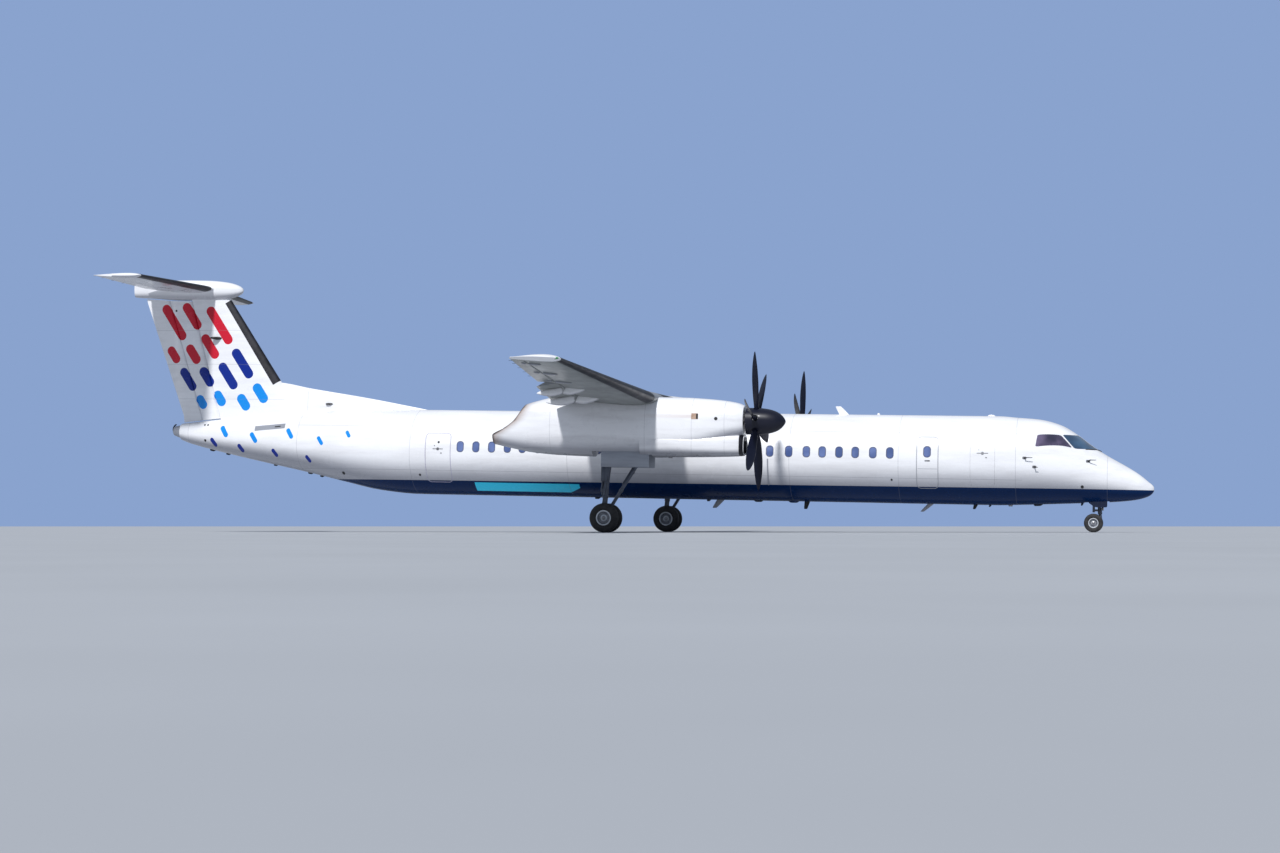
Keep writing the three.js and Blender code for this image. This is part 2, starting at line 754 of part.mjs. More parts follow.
// A nacelle, hollow for the engine, the air intake, the exhaust and the wheels.
function nacelle(side, wing) {
  const y = side * mainAxle.y;
  const rings = nacelleStations.map((row) => bodyRing(row, nacelleSides, { power: 2.5, y }));
  const hull = loft(rings);
  const [topX, topZ] = exhaust.top;
  const [lowX, lowZ] = exhaust.bottom;
  const slant = new THREE.Vector2(topX - lowX, topZ - lowZ).normalize();
  const out = [-slant.y, slant.x];
  const mouth = [(topX + lowX) / 2, (topZ + lowZ) / 2];
  const at = (along, away) => [
    mouth[0] + slant.x * along + out[0] * away,
    mouth[1] + slant.y * along + out[1] * away,
  ];
  const far = 1500;
  const behind = plate([at(-far, 0), at(far, 0), at(far, far), at(-far, far)], y - far, y + far);
  const pipe = loft(
    [-exhaust.depth, 200].map((away) => {
      const ring = [];
      for (let i = 0; i < 12; i++) {
        const angle = ((i + 0.5) / 12) * 2 * Math.PI;
        const [x, z] = at(exhaust.rise + exhaust.tall * Math.cos(angle), away);
        ring.push([x, y + exhaust.half * Math.sin(angle), z]);
      }
      return ring;
    }),
  );
  const bay = engineBay;
  const well = gearWell;
  const hollows = [
    behind,
    pipe,
    box(bay.back, bay.front, y - bay.half, y + bay.half, bay.low, bay.high),
    box(intake.back, intake.front, y - intake.half, y + intake.half, intake.low, intake.high),
    rod([shaft.back, y, shaftHeight], [shaft.front, y, shaftHeight], shaft.bore, 12),
    box(well.back, well.front, y - well.half, y + well.half, well.low, well.high),
  ];
  return largest(join(cut(hull, wing, ...hollows), jackPad(jackPads.main, y)));
}

function engine(side) {
  const y = side * mainAxle.y;
  const { back, front, low, high } = engineBay;
  const block = engineBlock;
  const face = front - block.front;
  return join(
    box(back + seatGap, face, y - block.half, y + block.half, low + block.low, high - block.high),
    rod([face - block.front, y, shaftHeight], [shaftEnd, y, shaftHeight], shaft.radius, 12),
  );
}

// A propeller about its own centre, the first blade upright: hub, backplate and blades.
function propeller() {
  const back = spinnerBack;
  const inside = spinnerProfile[0].r - spinnerWall - seatGap;
  const hub = turned(
    [
      [back, 0],
      [back, inside],
      [back + backplate, inside],
      [back + backplate, hubRadius],
      [hubFront, hubRadius],
      [hubFront, 0],
    ],
    spinnerSides,
  );
  const blades = [];
  for (let i = 0; i < bladeCount; i++) {
    const turn = new THREE.Matrix4().makeRotationX((i / bladeCount) * 2 * Math.PI);
    blades.push(placed(blade(), turn));
  }
  return join(hub, ...blades);
}

function blade() {
  const rings = bladeStations.map(({ r, chord, thick, pitch, sweep }) => {
    const turn = THREE.MathUtils.degToRad(pitch);
    const outline = [];
    for (let i = 0; i < bladeSides; i++) {
      const angle = (i / bladeSides) * 2 * Math.PI;
      const c = (Math.cos(angle) * chord) / 2;
      const t = (Math.sin(angle) * thick) / 2;
      outline.push([
        c * Math.sin(turn) + t * Math.cos(turn),
        -c * Math.cos(turn) + t * Math.sin(turn) + sweep,
        r,
      ]);
    }
    return outline;
  });
  return loft(rings);
}

function spinner() {
  const outer = spinnerProfile.map(({ x, r }) => [x, r]);
  const inner = outer.map(([x, r]) => [x - (x > 0 ? spinnerWall / 2 : 0), r - spinnerWall]);
  const profile = [[spinnerTip - 20, 0], ...inner.reverse(), ...outer, [spinnerTip, 0]];
  const shell = turned(profile, spinnerSides);
  const holes = [];
  for (let i = 0; i < bladeCount; i++) {
    const turn = (i / bladeCount) * 2 * Math.PI;
    const out = [0, -Math.sin(turn), Math.cos(turn)];
    const at = (radius) => out.map((value) => value * radius);
    holes.push(rod(at(spinnerHole.from), at(spinnerHole.to), spinnerHole.radius, 10));
  }
  return cut(shell, ...holes);
}

function addPowerplant(side, wing) {
  const hand = side > 0 ? "left" : "right";
  add(`nacelle_${hand}`, nacelle(side, wing), "white");
  add(`engine_${hand}`, engine(side), "metal");
  const group = new THREE.Group();
  group.position.set(propellerPlane, side * mainAxle.y, shaftHeight);
  group.rotation.x = THREE.MathUtils.degToRad(firstBlade[hand]);
  add(`propeller_${hand}`, propeller(), "black", group);
  add(`spinner_${hand}`, spinner(), "black", group);
  airframe.add(group);
}

// A tyre and a rim about the y axis, their inner hollows clear of the axle.
function tyre({ radius, width, rim, sides }) {
  const flat = 1 / Math.cos(Math.PI / sides); // the flats between the corners stand on the ground
  const half = width / 2;
  const tall = radius - rim;
  const profile = [
    [-0.82 * half, rim + 0.4],
    [-half, rim + 0.4 * tall],
    [-0.9 * half, rim + 0.78 * tall],
    [-0.5 * half, radius],
    [0.5 * half, radius],
    [0.9 * half, rim + 0.78 * tall],
    [half, rim + 0.4 * tall],
    [0.82 * half, rim + 0.4],
  ];
  return turned(closed(profile.map(([y, r]) => [y, r * flat])), sides, "y");
}

function rim({ width, rim: edge, axle, sides }, outward) {
  const flat = 1 / Math.cos(Math.PI / sides);
  const half = 0.41 * width;
  const [bore, hub, well] = [axle + 3, 0.36 * edge, 0.82 * edge];
  const profile = [
    [-0.66 * half, bore],
    [-0.66 * half, hub],
    [0.1 * half, well],
    [-half, well],
    [-half, edge],
    [half, edge],
    [half, well],
    [0.66 * half, hub],
    [0.66 * half, bore],
  ];
  return turned(closed(profile.map(([y, r]) => [y * outward, r * flat])), sides, "y");
}

function closed(profile) {
  return [...profile, profile[0]];
}

// An axle across the ship with shoulders that stop just short of the two hubs.
function axleBar(wheel, [x, y, z]) {
  const hubEdge = wheel.twin / 2 - 0.66 * 0.41 * wheel.width - pinGap;
  const end = wheel.twin / 2 + 0.66 * 0.41 * wheel.width + 14;
  return join(
    rod([x, y - end, z], [x, y + end, z], wheel.axle, 12),
    rod([x, y - hubEdge, z], [x, y + hubEdge, z], wheel.axle + 14, 12),
  );
}

function addWheels(prefix, wheel, [x, y, z], names) {
  const level = (body) => placed(body, new THREE.Matrix4().makeRotationY(-groundTilt));
  names.forEach((name, i) => {
    const outward = i === 0 ? 1 : -1;
    const place = y + (outward * wheel.twin) / 2;
    add(`${prefix}_tyre_${name}`, level(tyre(wheel)), "rubber").position.set(x, place, z);
    add(`${prefix}_rim_${name}`, level(rim(wheel, outward)), "grey").position.set(x, place, z);
  });
}

function addMainGear(side) {
  const hand = side > 0 ? "left" : "right";
  const y = side * mainAxle.y;
  const { top, elbow, radius, piston, trunnion } = mainLeg;
  const wall = gearWell.half - seatGap;
  const point = ([x, z]) => [x, y, z];
  const across = ([x, z], half, r) => rod([x, y - half, z], [x, y + half, z], r, 12);
  const lugSides = [y - stayLug.half, y + stayLug.half];
  const lug = box(mainLeg.elbow[0], mainStay.bottom[0], ...lugSides, stayLug.low, stayLug.high);
  const leg = join(
    rod(point(top), point(elbow), radius),
    rod(point(elbow), [mainAxle.x, y, mainAxle.z], piston),
    across(top, wall, trunnion),
    axleBar(mainWheel, [mainAxle.x, y, mainAxle.z]),
    cut(lug, across(mainStay.bottom, 2 * stayLug.half, mainStay.eye + seatGap)),
  );
  add(`main_leg_${hand}`, leg, "grey");
  const stay = join(
    rod(point(mainStay.top), point(mainStay.bottom), mainStay.radius, 10),
    across(mainStay.top, wall, mainStay.radius),
    across(mainStay.bottom, mainStay.eyeHalf, mainStay.eye),
  );
  add(`main_stay_${hand}`, stay, "grey");
  const { back, front, low, high, thick } = mainGearDoor;
  for (const [name, out] of [["outer", side], ["inner", -side]]) {
    const face = y + out * wall;
    const ends = [face, face - out * thick].sort((a, b) => a - b);
    add(`main_gear_door_${hand}_${name}`, box(back, front, ...ends, low, high), "wingGrey");
  }
  const names = side > 0 ? ["outer", "inner"] : ["inner", "outer"];
  addWheels("main", mainWheel, [mainAxle.x, y, mainAxle.z], names.map((name) => `${hand}_${name}`));
}

// The nose leg with its brace, and below it the fork that steers and trails the axle.
function addNoseGear() {
  const point = ([x, z]) => [x, 0, z];
  const { top, foot, radius, collar } = noseLeg;
  const along = new THREE.Vector2(foot[0] - top[0], foot[1] - top[1]).normalize();
  const down = (distance) => [foot[0] + along.x * distance, foot[1] + along.y * distance];
  const { long, half, tall, trunnion, drop } = noseBlock;
  const wall = noseBay.half - seatGap;
  const across = ([x, z], r) => rod([x, -wall, z], [x, wall, z], r, 12);
  const leg = join(
    rod(point([top[0], top[1] - tall / 2]), point(foot), radius),
    box(top[0] - long, top[0] + long, -half, half, top[1] - tall, top[1] - seatGap),
    across([top[0], top[1] - drop], trunnion),
    rod(point(noseBrace.top), point(noseBrace.bottom), noseBrace.radius, 10),
    across(noseBrace.top, noseBrace.radius),
  );
  add("nose_leg", leg, "grey");
  const fork = join(
    rod(point(down(pinGap)), point(down(noseLeg.collarLength)), collar),
    rod(point(down(forkArm.from)), [noseAxle.x, 0, noseAxle.z], forkArm.radius),
    axleBar(noseWheel, [noseAxle.x, 0, noseAxle.z]),
    box(
      noseAxle.x,
      towFitting.front,
      -towFitting.half,
      towFitting.half,
      noseAxle.z - towFitting.half,
      noseAxle.z + towFitting.half,
    ),
  );
  add("nose_fork", fork, "grey");
  for (const [hand, side] of [["left", 1], ["right", -1]]) {
    const { back, front, low, high, thick } = noseGearDoor;
    const face = side * (noseBay.half - seatGap);
    const ends = [face, face - side * thick].sort((a, b) => a - b);
    add(`nose_gear_door_${hand}`, box(back, front, ...ends, low, high), "blue");
  }
  addWheels("nose", noseWheel, [noseAxle.x, 0, noseAxle.z], ["left", "right"]);
}

// Fin pieces. A row at a height, hinge places on it, and rings between two fractions of its chord.
function finRow(z) {
  const row = rowAt(finStations, "z", z);
  return { lead: row.lead, chord: row.lead - row.tail, ratio: finRatio, z };
}

function hingeX({ low, high }, z) {
  return low[0] + ((high[0] - low[0]) * (z - low[1])) / (high[1] - low[1]);
}

function halfThickness(row, x) {
  const outline = slice(row, { from: (row.lead - x) / row.chord, to: 1, steps: 1 });
  return outline[1][1];
}

function finRing(z, frontX, backX) {
  const row = finRow(z);
  const fraction = (x) => (row.lead - x) / row.chord;
  const from = frontX === null ? 0 : fraction(frontX);
  const to = backX === null ? 1 : fraction(backX);
  const nose = frontX === null ? "flat" : "round";
  const steps = frontX === null ? 6 : 3;
  return slice(row, { from, to, nose, steps }).map(([back, out]) => [row.lead - back, out, z]);
}

function addTail() {
  const noseOf = (hinge, z) => hingeX(hinge, z) + halfThickness(finRow(z), hingeX(hinge, z));
  const [low, high] = rudderSpan;
  const bulletBody = (grow) =>
    loft(bulletStations.map((row) => bodyRing(row, bulletSides, { power: bulletPower, grow })));
  const finBack = (z) => noseOf(foreHinge, z) + moveGap;
  const foreBack = (z) => noseOf(trailingHinge, z) + moveGap;
  let fin = loft([finFoot, finTop].map((z) => finRing(z, null, finBack(z))));
  const ridge = loft(
    dorsal.map(({ x, top, half }) => [
      [x, 0, top],
      [x, half * 0.55, top - half * 0.5],
      [x, half, dorsalFoot],
      [x, -half, dorsalFoot],
      [x, -half * 0.55, top - half * 0.5],
    ]),
  );
  fin = cut(join(fin, ridge), bulletBody(seatGap), skin(seatGap));
  let fore = loft([low, high].map((z) => finRing(z, noseOf(foreHinge, z), foreBack(z))));
  let trailing = loft([low, high].map((z) => finRing(z, noseOf(trailingHinge, z), null)));
  for (const z of rudderTongues) {
    const foreTongue = rudderTongue(foreHinge, z);
    const trailingTongue = rudderTongue(trailingHinge, z + tongueShift);
    fin = join(fin, foreTongue.plate);
    fore = join(cut(fore, foreTongue.slot), trailingTongue.plate);
    trailing = cut(trailing, trailingTongue.slot);
  }
  add("fin", largest(fin), "white");
  add("fore_rudder", largest(fore), "white");
  add("trailing_rudder", largest(trailing), "white");

  const bullet = cut(bulletBody(0), tailplane(seatGap), elevatorTube(2 * elevator.from, moveGap));
  add("bullet_fairing", largest(bullet), "white");
  addTailplane();
}

function rudderTongue(hinge, z) {
  const x = hingeX(hinge, z);
  const along = new THREE.Vector3(hinge.high[0] - hinge.low[0], 0, hinge.high[1] - hinge.low[1]);
  const radius = halfThickness(finRow(z), x);
  return tongue(hingeFrame(new THREE.Vector3(x, 0, z), along), radius * 0.8);
}

function tailRow(y) {
  return { ...rowAt(tailplaneStations, "y", Math.abs(y)), y };
}

function elevatorNose(y) {
  const row = tailRow(y);
  return (row.lead - elevator.hinge - halfThickness(row, elevator.hinge)) / row.chord;
}

// The tube that joins the two halves of the elevator, or the room for it.
function elevatorTube(half, grow = 0) {
  const { hinge, tube } = elevator;
  return rod([hinge, -half, tailHeight], [hinge, half, tailHeight], tube + grow, 12);
}

// The tailplane in front of the elevator, from tip to tip.
function tailplane(grow = 0) {
  const places = [-tailSpan, 0, tailSpan];
  const rings = places.map((y) => {
    const row = tailRow(y);
    return spanRing(row, { to: elevatorNose(y) - moveGap / row.chord, grow, steps: 6 });
  });
  return loft(rings);
}

function addTailplane() {
  const { hinge, from, to, overlap, tongues } = elevator;
  let fixed = tailplane();
  let moving = elevatorTube(from + overlap);
  for (const side of [-1, 1]) {
    const rings = [from, to].map((y) =>
      spanRing(tailRow(side * y), { from: elevatorNose(y), nose: "round", steps: 3 }),
    );
    moving = join(moving, loft(rings));
    for (const y of tongues) {
      const point = new THREE.Vector3(hinge, side * y, tailHeight);
      const frame = hingeFrame(point, new THREE.Vector3(0, 1, 0));
      const radius = halfThickness(tailRow(y), hinge) * 0.8;
      const one = tongue(frame, radius);
      fixed = join(fixed, one.plate);
      moving = cut(moving, one.slot);
    }
  }
  add("tailplane", largest(cut(fixed, elevatorTube(2 * from, moveGap))), "white");
  add("elevator", largest(moving), "white");
}

const wingRoom = join(
  wingBody([-wingJoint - 1, 0, wingJoint + 1], seatGap),
  ...[-1, 1].map((side) => wingBody([side * wingJoint, side * flaps.outboard_flap.to], seatGap)),
);
addFuselage(wingRoom);
addWingFairing(wingRoom);
addWing();
for (const side of [1, -1]) {
  addPowerplant(side, wingRoom);
  addMainGear(side);
}
addNoseGear();
addTail();

airframe.rotation.y = groundTilt;
const axleDrop = mainAxle.x * Math.sin(groundTilt) - mainAxle.z * Math.cos(groundTilt);
airframe.position.set(balanceShift, 0, axleDrop + mainWheel.radius);
airliner.add(airframe);

export default airliner;
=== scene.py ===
import math
import bpy
import bmesh
import numpy as np
from mathutils import Matrix, Vector


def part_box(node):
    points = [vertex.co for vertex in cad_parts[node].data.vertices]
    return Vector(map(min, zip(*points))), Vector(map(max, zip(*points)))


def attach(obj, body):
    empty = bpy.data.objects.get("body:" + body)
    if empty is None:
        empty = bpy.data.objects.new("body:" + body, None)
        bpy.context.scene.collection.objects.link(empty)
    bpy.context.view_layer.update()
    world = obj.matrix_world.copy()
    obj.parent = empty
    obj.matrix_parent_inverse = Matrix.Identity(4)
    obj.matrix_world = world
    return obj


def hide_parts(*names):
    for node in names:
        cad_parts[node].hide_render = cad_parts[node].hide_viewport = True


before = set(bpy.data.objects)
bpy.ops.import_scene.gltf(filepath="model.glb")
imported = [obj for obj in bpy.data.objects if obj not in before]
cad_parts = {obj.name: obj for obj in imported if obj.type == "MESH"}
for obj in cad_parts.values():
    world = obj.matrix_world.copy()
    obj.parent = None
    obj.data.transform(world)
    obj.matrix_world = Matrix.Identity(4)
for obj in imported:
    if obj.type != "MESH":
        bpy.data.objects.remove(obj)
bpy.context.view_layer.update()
print("frame loaded:", len(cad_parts), "nodes")

# The shapes are drawn level, in metres: nose along +X, left wing along +Y, origin on the cabin's axis.
# standUp tips the level drawing onto its wheels, as the frame's own wheels stand.
axles = {"main": Vector((0.72, 0, -1.97)), "nose": Vector((14.66, 0, -1.82)), "mainY": 4.4}


def middleOf(node):
    low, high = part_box(node)
    return (low + high) / 2


parked = {"main": middleOf("main_rim_left_outer"), "nose": middleOf("nose_rim_left")}


def slopeOf(places):
    return math.atan2(places["nose"].z - places["main"].z, places["nose"].x - places["main"].x)


tilt = slopeOf(axles) - slopeOf(parked)
standUp = (
    Matrix.Translation((parked["main"].x, 0, parked["main"].z))
    @ Matrix.Rotation(tilt, 4, "Y")
    @ Matrix.Translation(-axles["main"])
)
layDown = standUp.inverted()
hands = {1: "left", -1: "right"}


def circle(count, shift=0.0):
    # even angles all the way round
    return (np.arange(count) + shift) / count * 2 * math.pi


# Curves through tables

def smoothed(places, values, at):
    # a curve through the values that never swings past them
    places, values, at = (np.asarray(x, float) for x in (places, values, at))
    gap = np.diff(places)
    slope = np.diff(values) / gap
    tangent = np.zeros(len(places))
    for i in range(1, len(places) - 1):
        if slope[i - 1] * slope[i] > 0:
            a, b = 2 * gap[i] + gap[i - 1], gap[i] + 2 * gap[i - 1]
            tangent[i] = (a + b) / (a / slope[i - 1] + b / slope[i])
    tangent[0], tangent[-1] = slope[0], slope[-1]
    i = np.clip(np.searchsorted(places, at) - 1, 0, len(gap) - 1)
    t = np.clip((at - places[i]) / gap[i], 0, 1)
    start = values[i] * (1 + 2 * t) * (1 - t) ** 2 + gap[i] * tangent[i] * t * (1 - t) ** 2
    end = values[i + 1] * t * t * (3 - 2 * t) + gap[i] * tangent[i + 1] * t * t * (t - 1)
    return start + end


class Hull:
    # a round-sided body from rows of x, top, bottom, half width and height of the waist, nose first

    def __init__(self, rows, power=2.0, y=0.0, roundNose=None):
        rows = np.array(rows, float)
        self.power, self.y = power, y
        self.bend = 1.0 if roundNose is None else 0.5
        self.front = rows[0, 0] if roundNose is None else roundNose[0]
        if roundNose is not None:
            tip = [self.front, roundNose[1], roundNose[1], 0.0, roundNose[1]]
            rows = np.vstack([tip, rows])
        self.end = rows[-1, 0]
        marks = self.along(rows[:, 0])
        self.marks = np.linspace(0, marks[-1], 900)
        self.columns = [smoothed(marks, rows[:, k], self.marks) for k in (1, 2, 3, 4)]
        self.x = self.front - self.marks ** (1 / self.bend)

    def along(self, x):
        return np.maximum(self.front - np.asarray(x, float), 0) ** self.bend

    def at(self, x):
        mark = self.along(x)
        return [np.interp(mark, self.marks, column) for column in self.columns]

    def place(self, x, angle, grow=0.0):
        top, bottom, half, waist = self.at(x)
        across, up = np.sin(angle), np.cos(angle)
        tall = np.where(up > 0, top - waist, waist - bottom)
        bent = [np.sign(v) * np.abs(v) ** (2 / self.power) for v in (across, up)]
        y = self.y + bent[0] * np.maximum(half + grow, 0)
        z = waist + bent[1] * np.maximum(tall + grow, 0)
        return np.stack(np.broadcast_arrays(x, y, z), -1)

    def angle(self, x, z):
        top, bottom, _, waist = self.at(x)
        tall = np.where(z > waist, top - waist, waist - bottom)
        share = np.clip((z - waist) / tall, -1, 1)
        return np.arccos(np.sign(share) * np.abs(share) ** (self.power / 2))

    def loft(self, places, sides, grow=0.0):
        places = np.asarray(places, float)
        return loft(self.place(places[:, None], circle(sides, 0.5)[None, :], grow))

    def spread(self, start, end, count):
        marks = np.linspace(self.along(start), self.along(end), count)
        return self.front - marks ** (1 / self.bend)

    def normals(self, points):
        # the slope of the implicit surface through each point
        top, bottom, half, waist = self.at(points[:, 0])
        above = points[:, 2] > waist
        tall = np.where(above, top - waist, waist - bottom)
        half, tall = np.maximum(half, 1e-4), np.maximum(tall, 1e-4)
        rates = [np.interp(self.along(points[:, 0]), self.marks, np.gradient(c, self.x, edge_order=1))
                 for c in self.columns]
        tallRate = np.where(above, rates[0] - rates[3], rates[3] - rates[1])
        y = (points[:, 1] - self.y) / half
        z = (points[:, 2] - waist) / tall
        p = self.power
        sideways, upwards = np.abs(y) ** (p - 1), np.abs(z) ** (p - 1)
        gradient = np.stack([
            -sideways * np.abs(y) * rates[2] / half
            - upwards * (np.sign(z) * rates[3] + np.abs(z) * tallRate) / tall,
            sideways * np.sign(y) / half,
            upwards * np.sign(z) / tall,
        ], -1)
        return gradient / np.maximum(np.linalg.norm(gradient, axis=1, keepdims=True), 1e-9)


# Shapes are pairs of corner places and faces

def outward(places, faces):
    # turned so that the volume inside is positive
    places = np.asarray(places, float)
    fans = np.array([(f[0], f[i], f[i + 1]) for f in faces for i in range(1, len(f) - 1)])
    a, b, c = (places[fans[:, k]] for k in range(3))
    inside = np.einsum("ij,ij->i", a, np.cross(b, c)).sum()
    return places, ([f[::-1] for f in faces] if inside < 0 else faces)


def loft(rings, ends=True):
    rings = np.asarray(rings, float)
    count, sides = rings.shape[:2]
    base = np.arange(count - 1)[:, None] * sides
    here = np.arange(sides)[None, :]
    there = (here + 1) % sides
    quads = np.stack([base + here, base + there, base + sides + there, base + sides + here], -1)
    faces = quads.reshape(-1, 4).tolist()
    if ends:
        faces.append(list(range(sides))[::-1])
        faces.append(list(range((count - 1) * sides, count * sides)))
    return outward(rings.reshape(-1, 3), faces)


def joined(*shapes):
    places, faces, count = [], [], 0
    for corners, polygons in shapes:
        places.append(np.asarray(corners))
        faces += [[i + count for i in polygon] for polygon in polygons]
        count += len(corners)
    return np.vstack(places), faces


def moved(shape, matrix):
    turn = np.array(matrix)
    places = np.asarray(shape[0]) @ turn[:3, :3].T + turn[:3, 3]
    return outward(places, shape[1])


def turned(profile, start, end, sides):
    # a body of revolution on the line from start to end, from rows of place along it and radius
    profile = np.asarray(profile, float)
    start, end = Vector(start), Vector(end)
    axis = (end - start).normalized()
    u = axis.orthogonal().normalized()
    w = axis.cross(u)
    turn = circle(sides, 0.5)
    ring = np.cos(turn)[:, None] * np.array(u) + np.sin(turn)[:, None] * np.array(w)
    rings = [np.array(start) + a * np.array(axis) + r * ring for a, r in profile]
    whole = np.allclose(profile[0], profile[-1])
    return loft(rings, ends=not whole)


def rod(start, end, radius, sides=24, edge=0.12, endRadius=None):
    # a round bar with its two rims eased
    length = (Vector(end) - Vector(start)).length
    last = radius if endRadius is None else endRadius
    ease = min(edge * min(radius, last), length / 3)
    profile = [(0, 0), (0, radius - ease), (ease, radius),
               (length - ease, last), (length, last - ease), (length, 0)]
    return turned(profile, start, end, sides)


def across(off):
    return Vector((0, off, 0))


def crossBar(point, half, radius, sides=24, edge=0.12):
    return rod(point - across(half), point + across(half), radius, sides, edge)


def collar(point, way, start, end, radius, sides=24):
    # a bar between two distances from a point, on the line that leads through it
    return rod(point + way * start, point + way * end, radius, sides)


def block(low, high, ease):
    # a box with its edges rounded off
    low, high = Vector(low), Vector(high)
    form = bmesh.new()
    place = Matrix.Translation((low + high) / 2) @ Matrix.Diagonal((*(high - low), 1))
    bmesh.ops.create_cube(form, size=1, matrix=place)
    if ease:
        bmesh.ops.bevel(form, geom=form.edges[:], offset=ease, segments=2, affect="EDGES", profile=0.5)
    places = np.array([v.co for v in form.verts])
    form.verts.index_update()
    faces = [[v.index for v in f.verts] for f in form.faces]
    form.free()
    return outward(places, faces)


def plate(outline, y0, y1):
    # an outline in x and z between two places across the ship
    return loft([[(x, y, z) for x, z in outline] for y in (y0, y1)])


def hose(route, radius, sides, steps=24):
    # a round pipe through the points of a route
    route = np.asarray(route, float)
    reach = np.r_[0, np.cumsum(np.linalg.norm(np.diff(route, axis=0), axis=1))]
    at = np.linspace(0, reach[-1], steps)
    line = np.stack([smoothed(reach, route[:, k], at) for k in range(3)], -1)
    along = np.gradient(line, axis=0)
    rings, side = [], Vector(along[0]).orthogonal().normalized()
    turn = circle(sides)
    for point, direction in zip(line, along):
        direction = Vector(direction).normalized()
        side = (side - direction * side.dot(direction)).normalized()
        other = direction.cross(side)
        ring = np.cos(turn)[:, None] * np.array(side) + np.sin(turn)[:, None] * np.array(other)
        rings.append(point + radius * ring)
    return loft(rings)


def roundedGrid(corner, columns, rows):
    # shares of the half width and half height, from -1 to 1, over a rectangle with round corners
    turn = np.linspace(0, math.pi / 2, 6)
    low = -1 + corner[1] * (1 - np.cos(turn))
    wide = 1 - corner[0] * (1 - np.sin(turn))
    middle = np.linspace(low[-1], -low[-1], rows)[1:-1]
    t = np.r_[low, middle, -low[::-1]]
    wide = np.r_[wide, np.ones(len(middle)), wide[::-1]]
    s = wide[:, None] * np.linspace(-1, 1, columns)[None, :]
    return s, np.broadcast_to(t[:, None], s.shape)


def patch(hull, x, angle, low, high, side):
    # a closed slab that follows a hull's skin, between two distances from it
    rows, columns = x.shape
    count = rows * columns
    outer = hull.place(x, side * angle, high).reshape(-1, 3)
    inner = hull.place(x, side * angle, low).reshape(-1, 3)
    index = np.arange(count).reshape(rows, columns)
    quads = np.stack([index[:-1, :-1], index[:-1, 1:], index[1:, 1:], index[1:, :-1]], -1)
    faces = quads.reshape(-1, 4).tolist()
    faces += (quads.reshape(-1, 4)[:, ::-1] + count).tolist()
    rim = [*index[0, :], *index[1:, -1], *index[-1, -2::-1], *index[-2:0:-1, 0]]
    for a, b in zip(rim, rim[1:] + rim[:1]):
        faces.append([b, a, a + count, b + count])
    return outward(np.vstack([outer, inner]), faces)


def sidePatch(hull, at, size, corner, low, high, side, rows=6, columns=9):
    # a slab whose outline, seen from the side, is a rounded rectangle
    s, t = roundedGrid((2 * corner / size[0], 2 * corner / size[1]), columns=columns, rows=rows)
    x = at[0] + s * size[0] / 2
    return patch(hull, x, hull.angle(x, at[1] + t * size[1] / 2), low, high, side)


def roundedOutline(at, size, corner, grow, steps=6, straight=0.06):
    # points round a rounded rectangle in x and z, with its straight sides divided
    half = [size[0] / 2 + grow, size[1] / 2 + grow]
    sideParts = [max(1, round((length - 2 * corner) / straight)) for length in size]
    corner = corner + grow
    points = []
    for quarter in range(4):
        sign = [(1, 1), (-1, 1), (-1, -1), (1, -1)][quarter]
        centre = [at[k] + sign[k] * (half[k] - corner) for k in range(2)]
        for step in range(steps + 1):
            turn = (quarter + step / steps) * math.pi / 2
            points.append((centre[0] + corner * math.cos(turn), centre[1] + corner * math.sin(turn)))
    divided = []
    for place, (a, b) in enumerate(zip(points, points[1:] + points[:1])):
        quarter, step = divmod(place, steps + 1)
        parts = sideParts[quarter % 2] if step == steps else 1
        divided += [(a[0] + (b[0] - a[0]) * k / parts,
                     a[1] + (b[1] - a[1]) * k / parts) for k in range(parts)]
    return np.array(divided)


def skinFrame(hull, outer, inner, low, high, side):
    # a flat band on the skin between two outlines in x and z
    rings = []
    for outline, grow in [(outer, high), (inner, high), (inner, low), (outer, low), (outer, high)]:
        angle = side * hull.angle(outline[:, 0], outline[:, 1])
        rings.append(hull.place(outline[:, 0], angle, grow))
    return loft(np.array(rings), ends=False)


# From shapes to finished pieces

def meshOf(name, shape):
    mesh = bpy.data.meshes.new(name)
    mesh.from_pydata(np.asarray(shape[0]).tolist(), [], shape[1])
    form = bmesh.new()
    form.from_mesh(mesh)
    bmesh.ops.remove_doubles(form, verts=form.verts, dist=2e-6)
    form.to_mesh(mesh)
    form.free()
    return mesh


def linked(name, data):
    # a new object in the scene
    thing = bpy.data.objects.new(name, data)
    bpy.context.scene.collection.objects.link(thing)
    return thing


def evaluated(holder, spent=()):
    # the mesh that an object's modifiers make, once it and what they use are gone
    made = bpy.data.meshes.new_from_object(holder.evaluated_get(bpy.context.evaluated_depsgraph_get()))
    for used in [holder, *spent]:
        bpy.data.objects.remove(used)
    return made


def carve(name, shape, tools, operation="DIFFERENCE"):
    # the shape without each of the tools, or all of them in one
    holder = linked(name, meshOf(name, shape))
    cutters = []
    for tool in tools:
        cutter = linked("cutter", meshOf("cutter", tool))
        change = holder.modifiers.new("cut", "BOOLEAN")
        change.object, change.operation, change.solver = cutter, operation, "MANIFOLD"
        cutters.append(cutter)
    result = evaluated(holder, cutters)
    places = np.array([v.co for v in result.vertices])
    faces = [list(p.vertices) for p in result.polygons]
    if len(faces) == 0:
        raise RuntimeError(f"{name} was lost in a cut")
    return places, faces


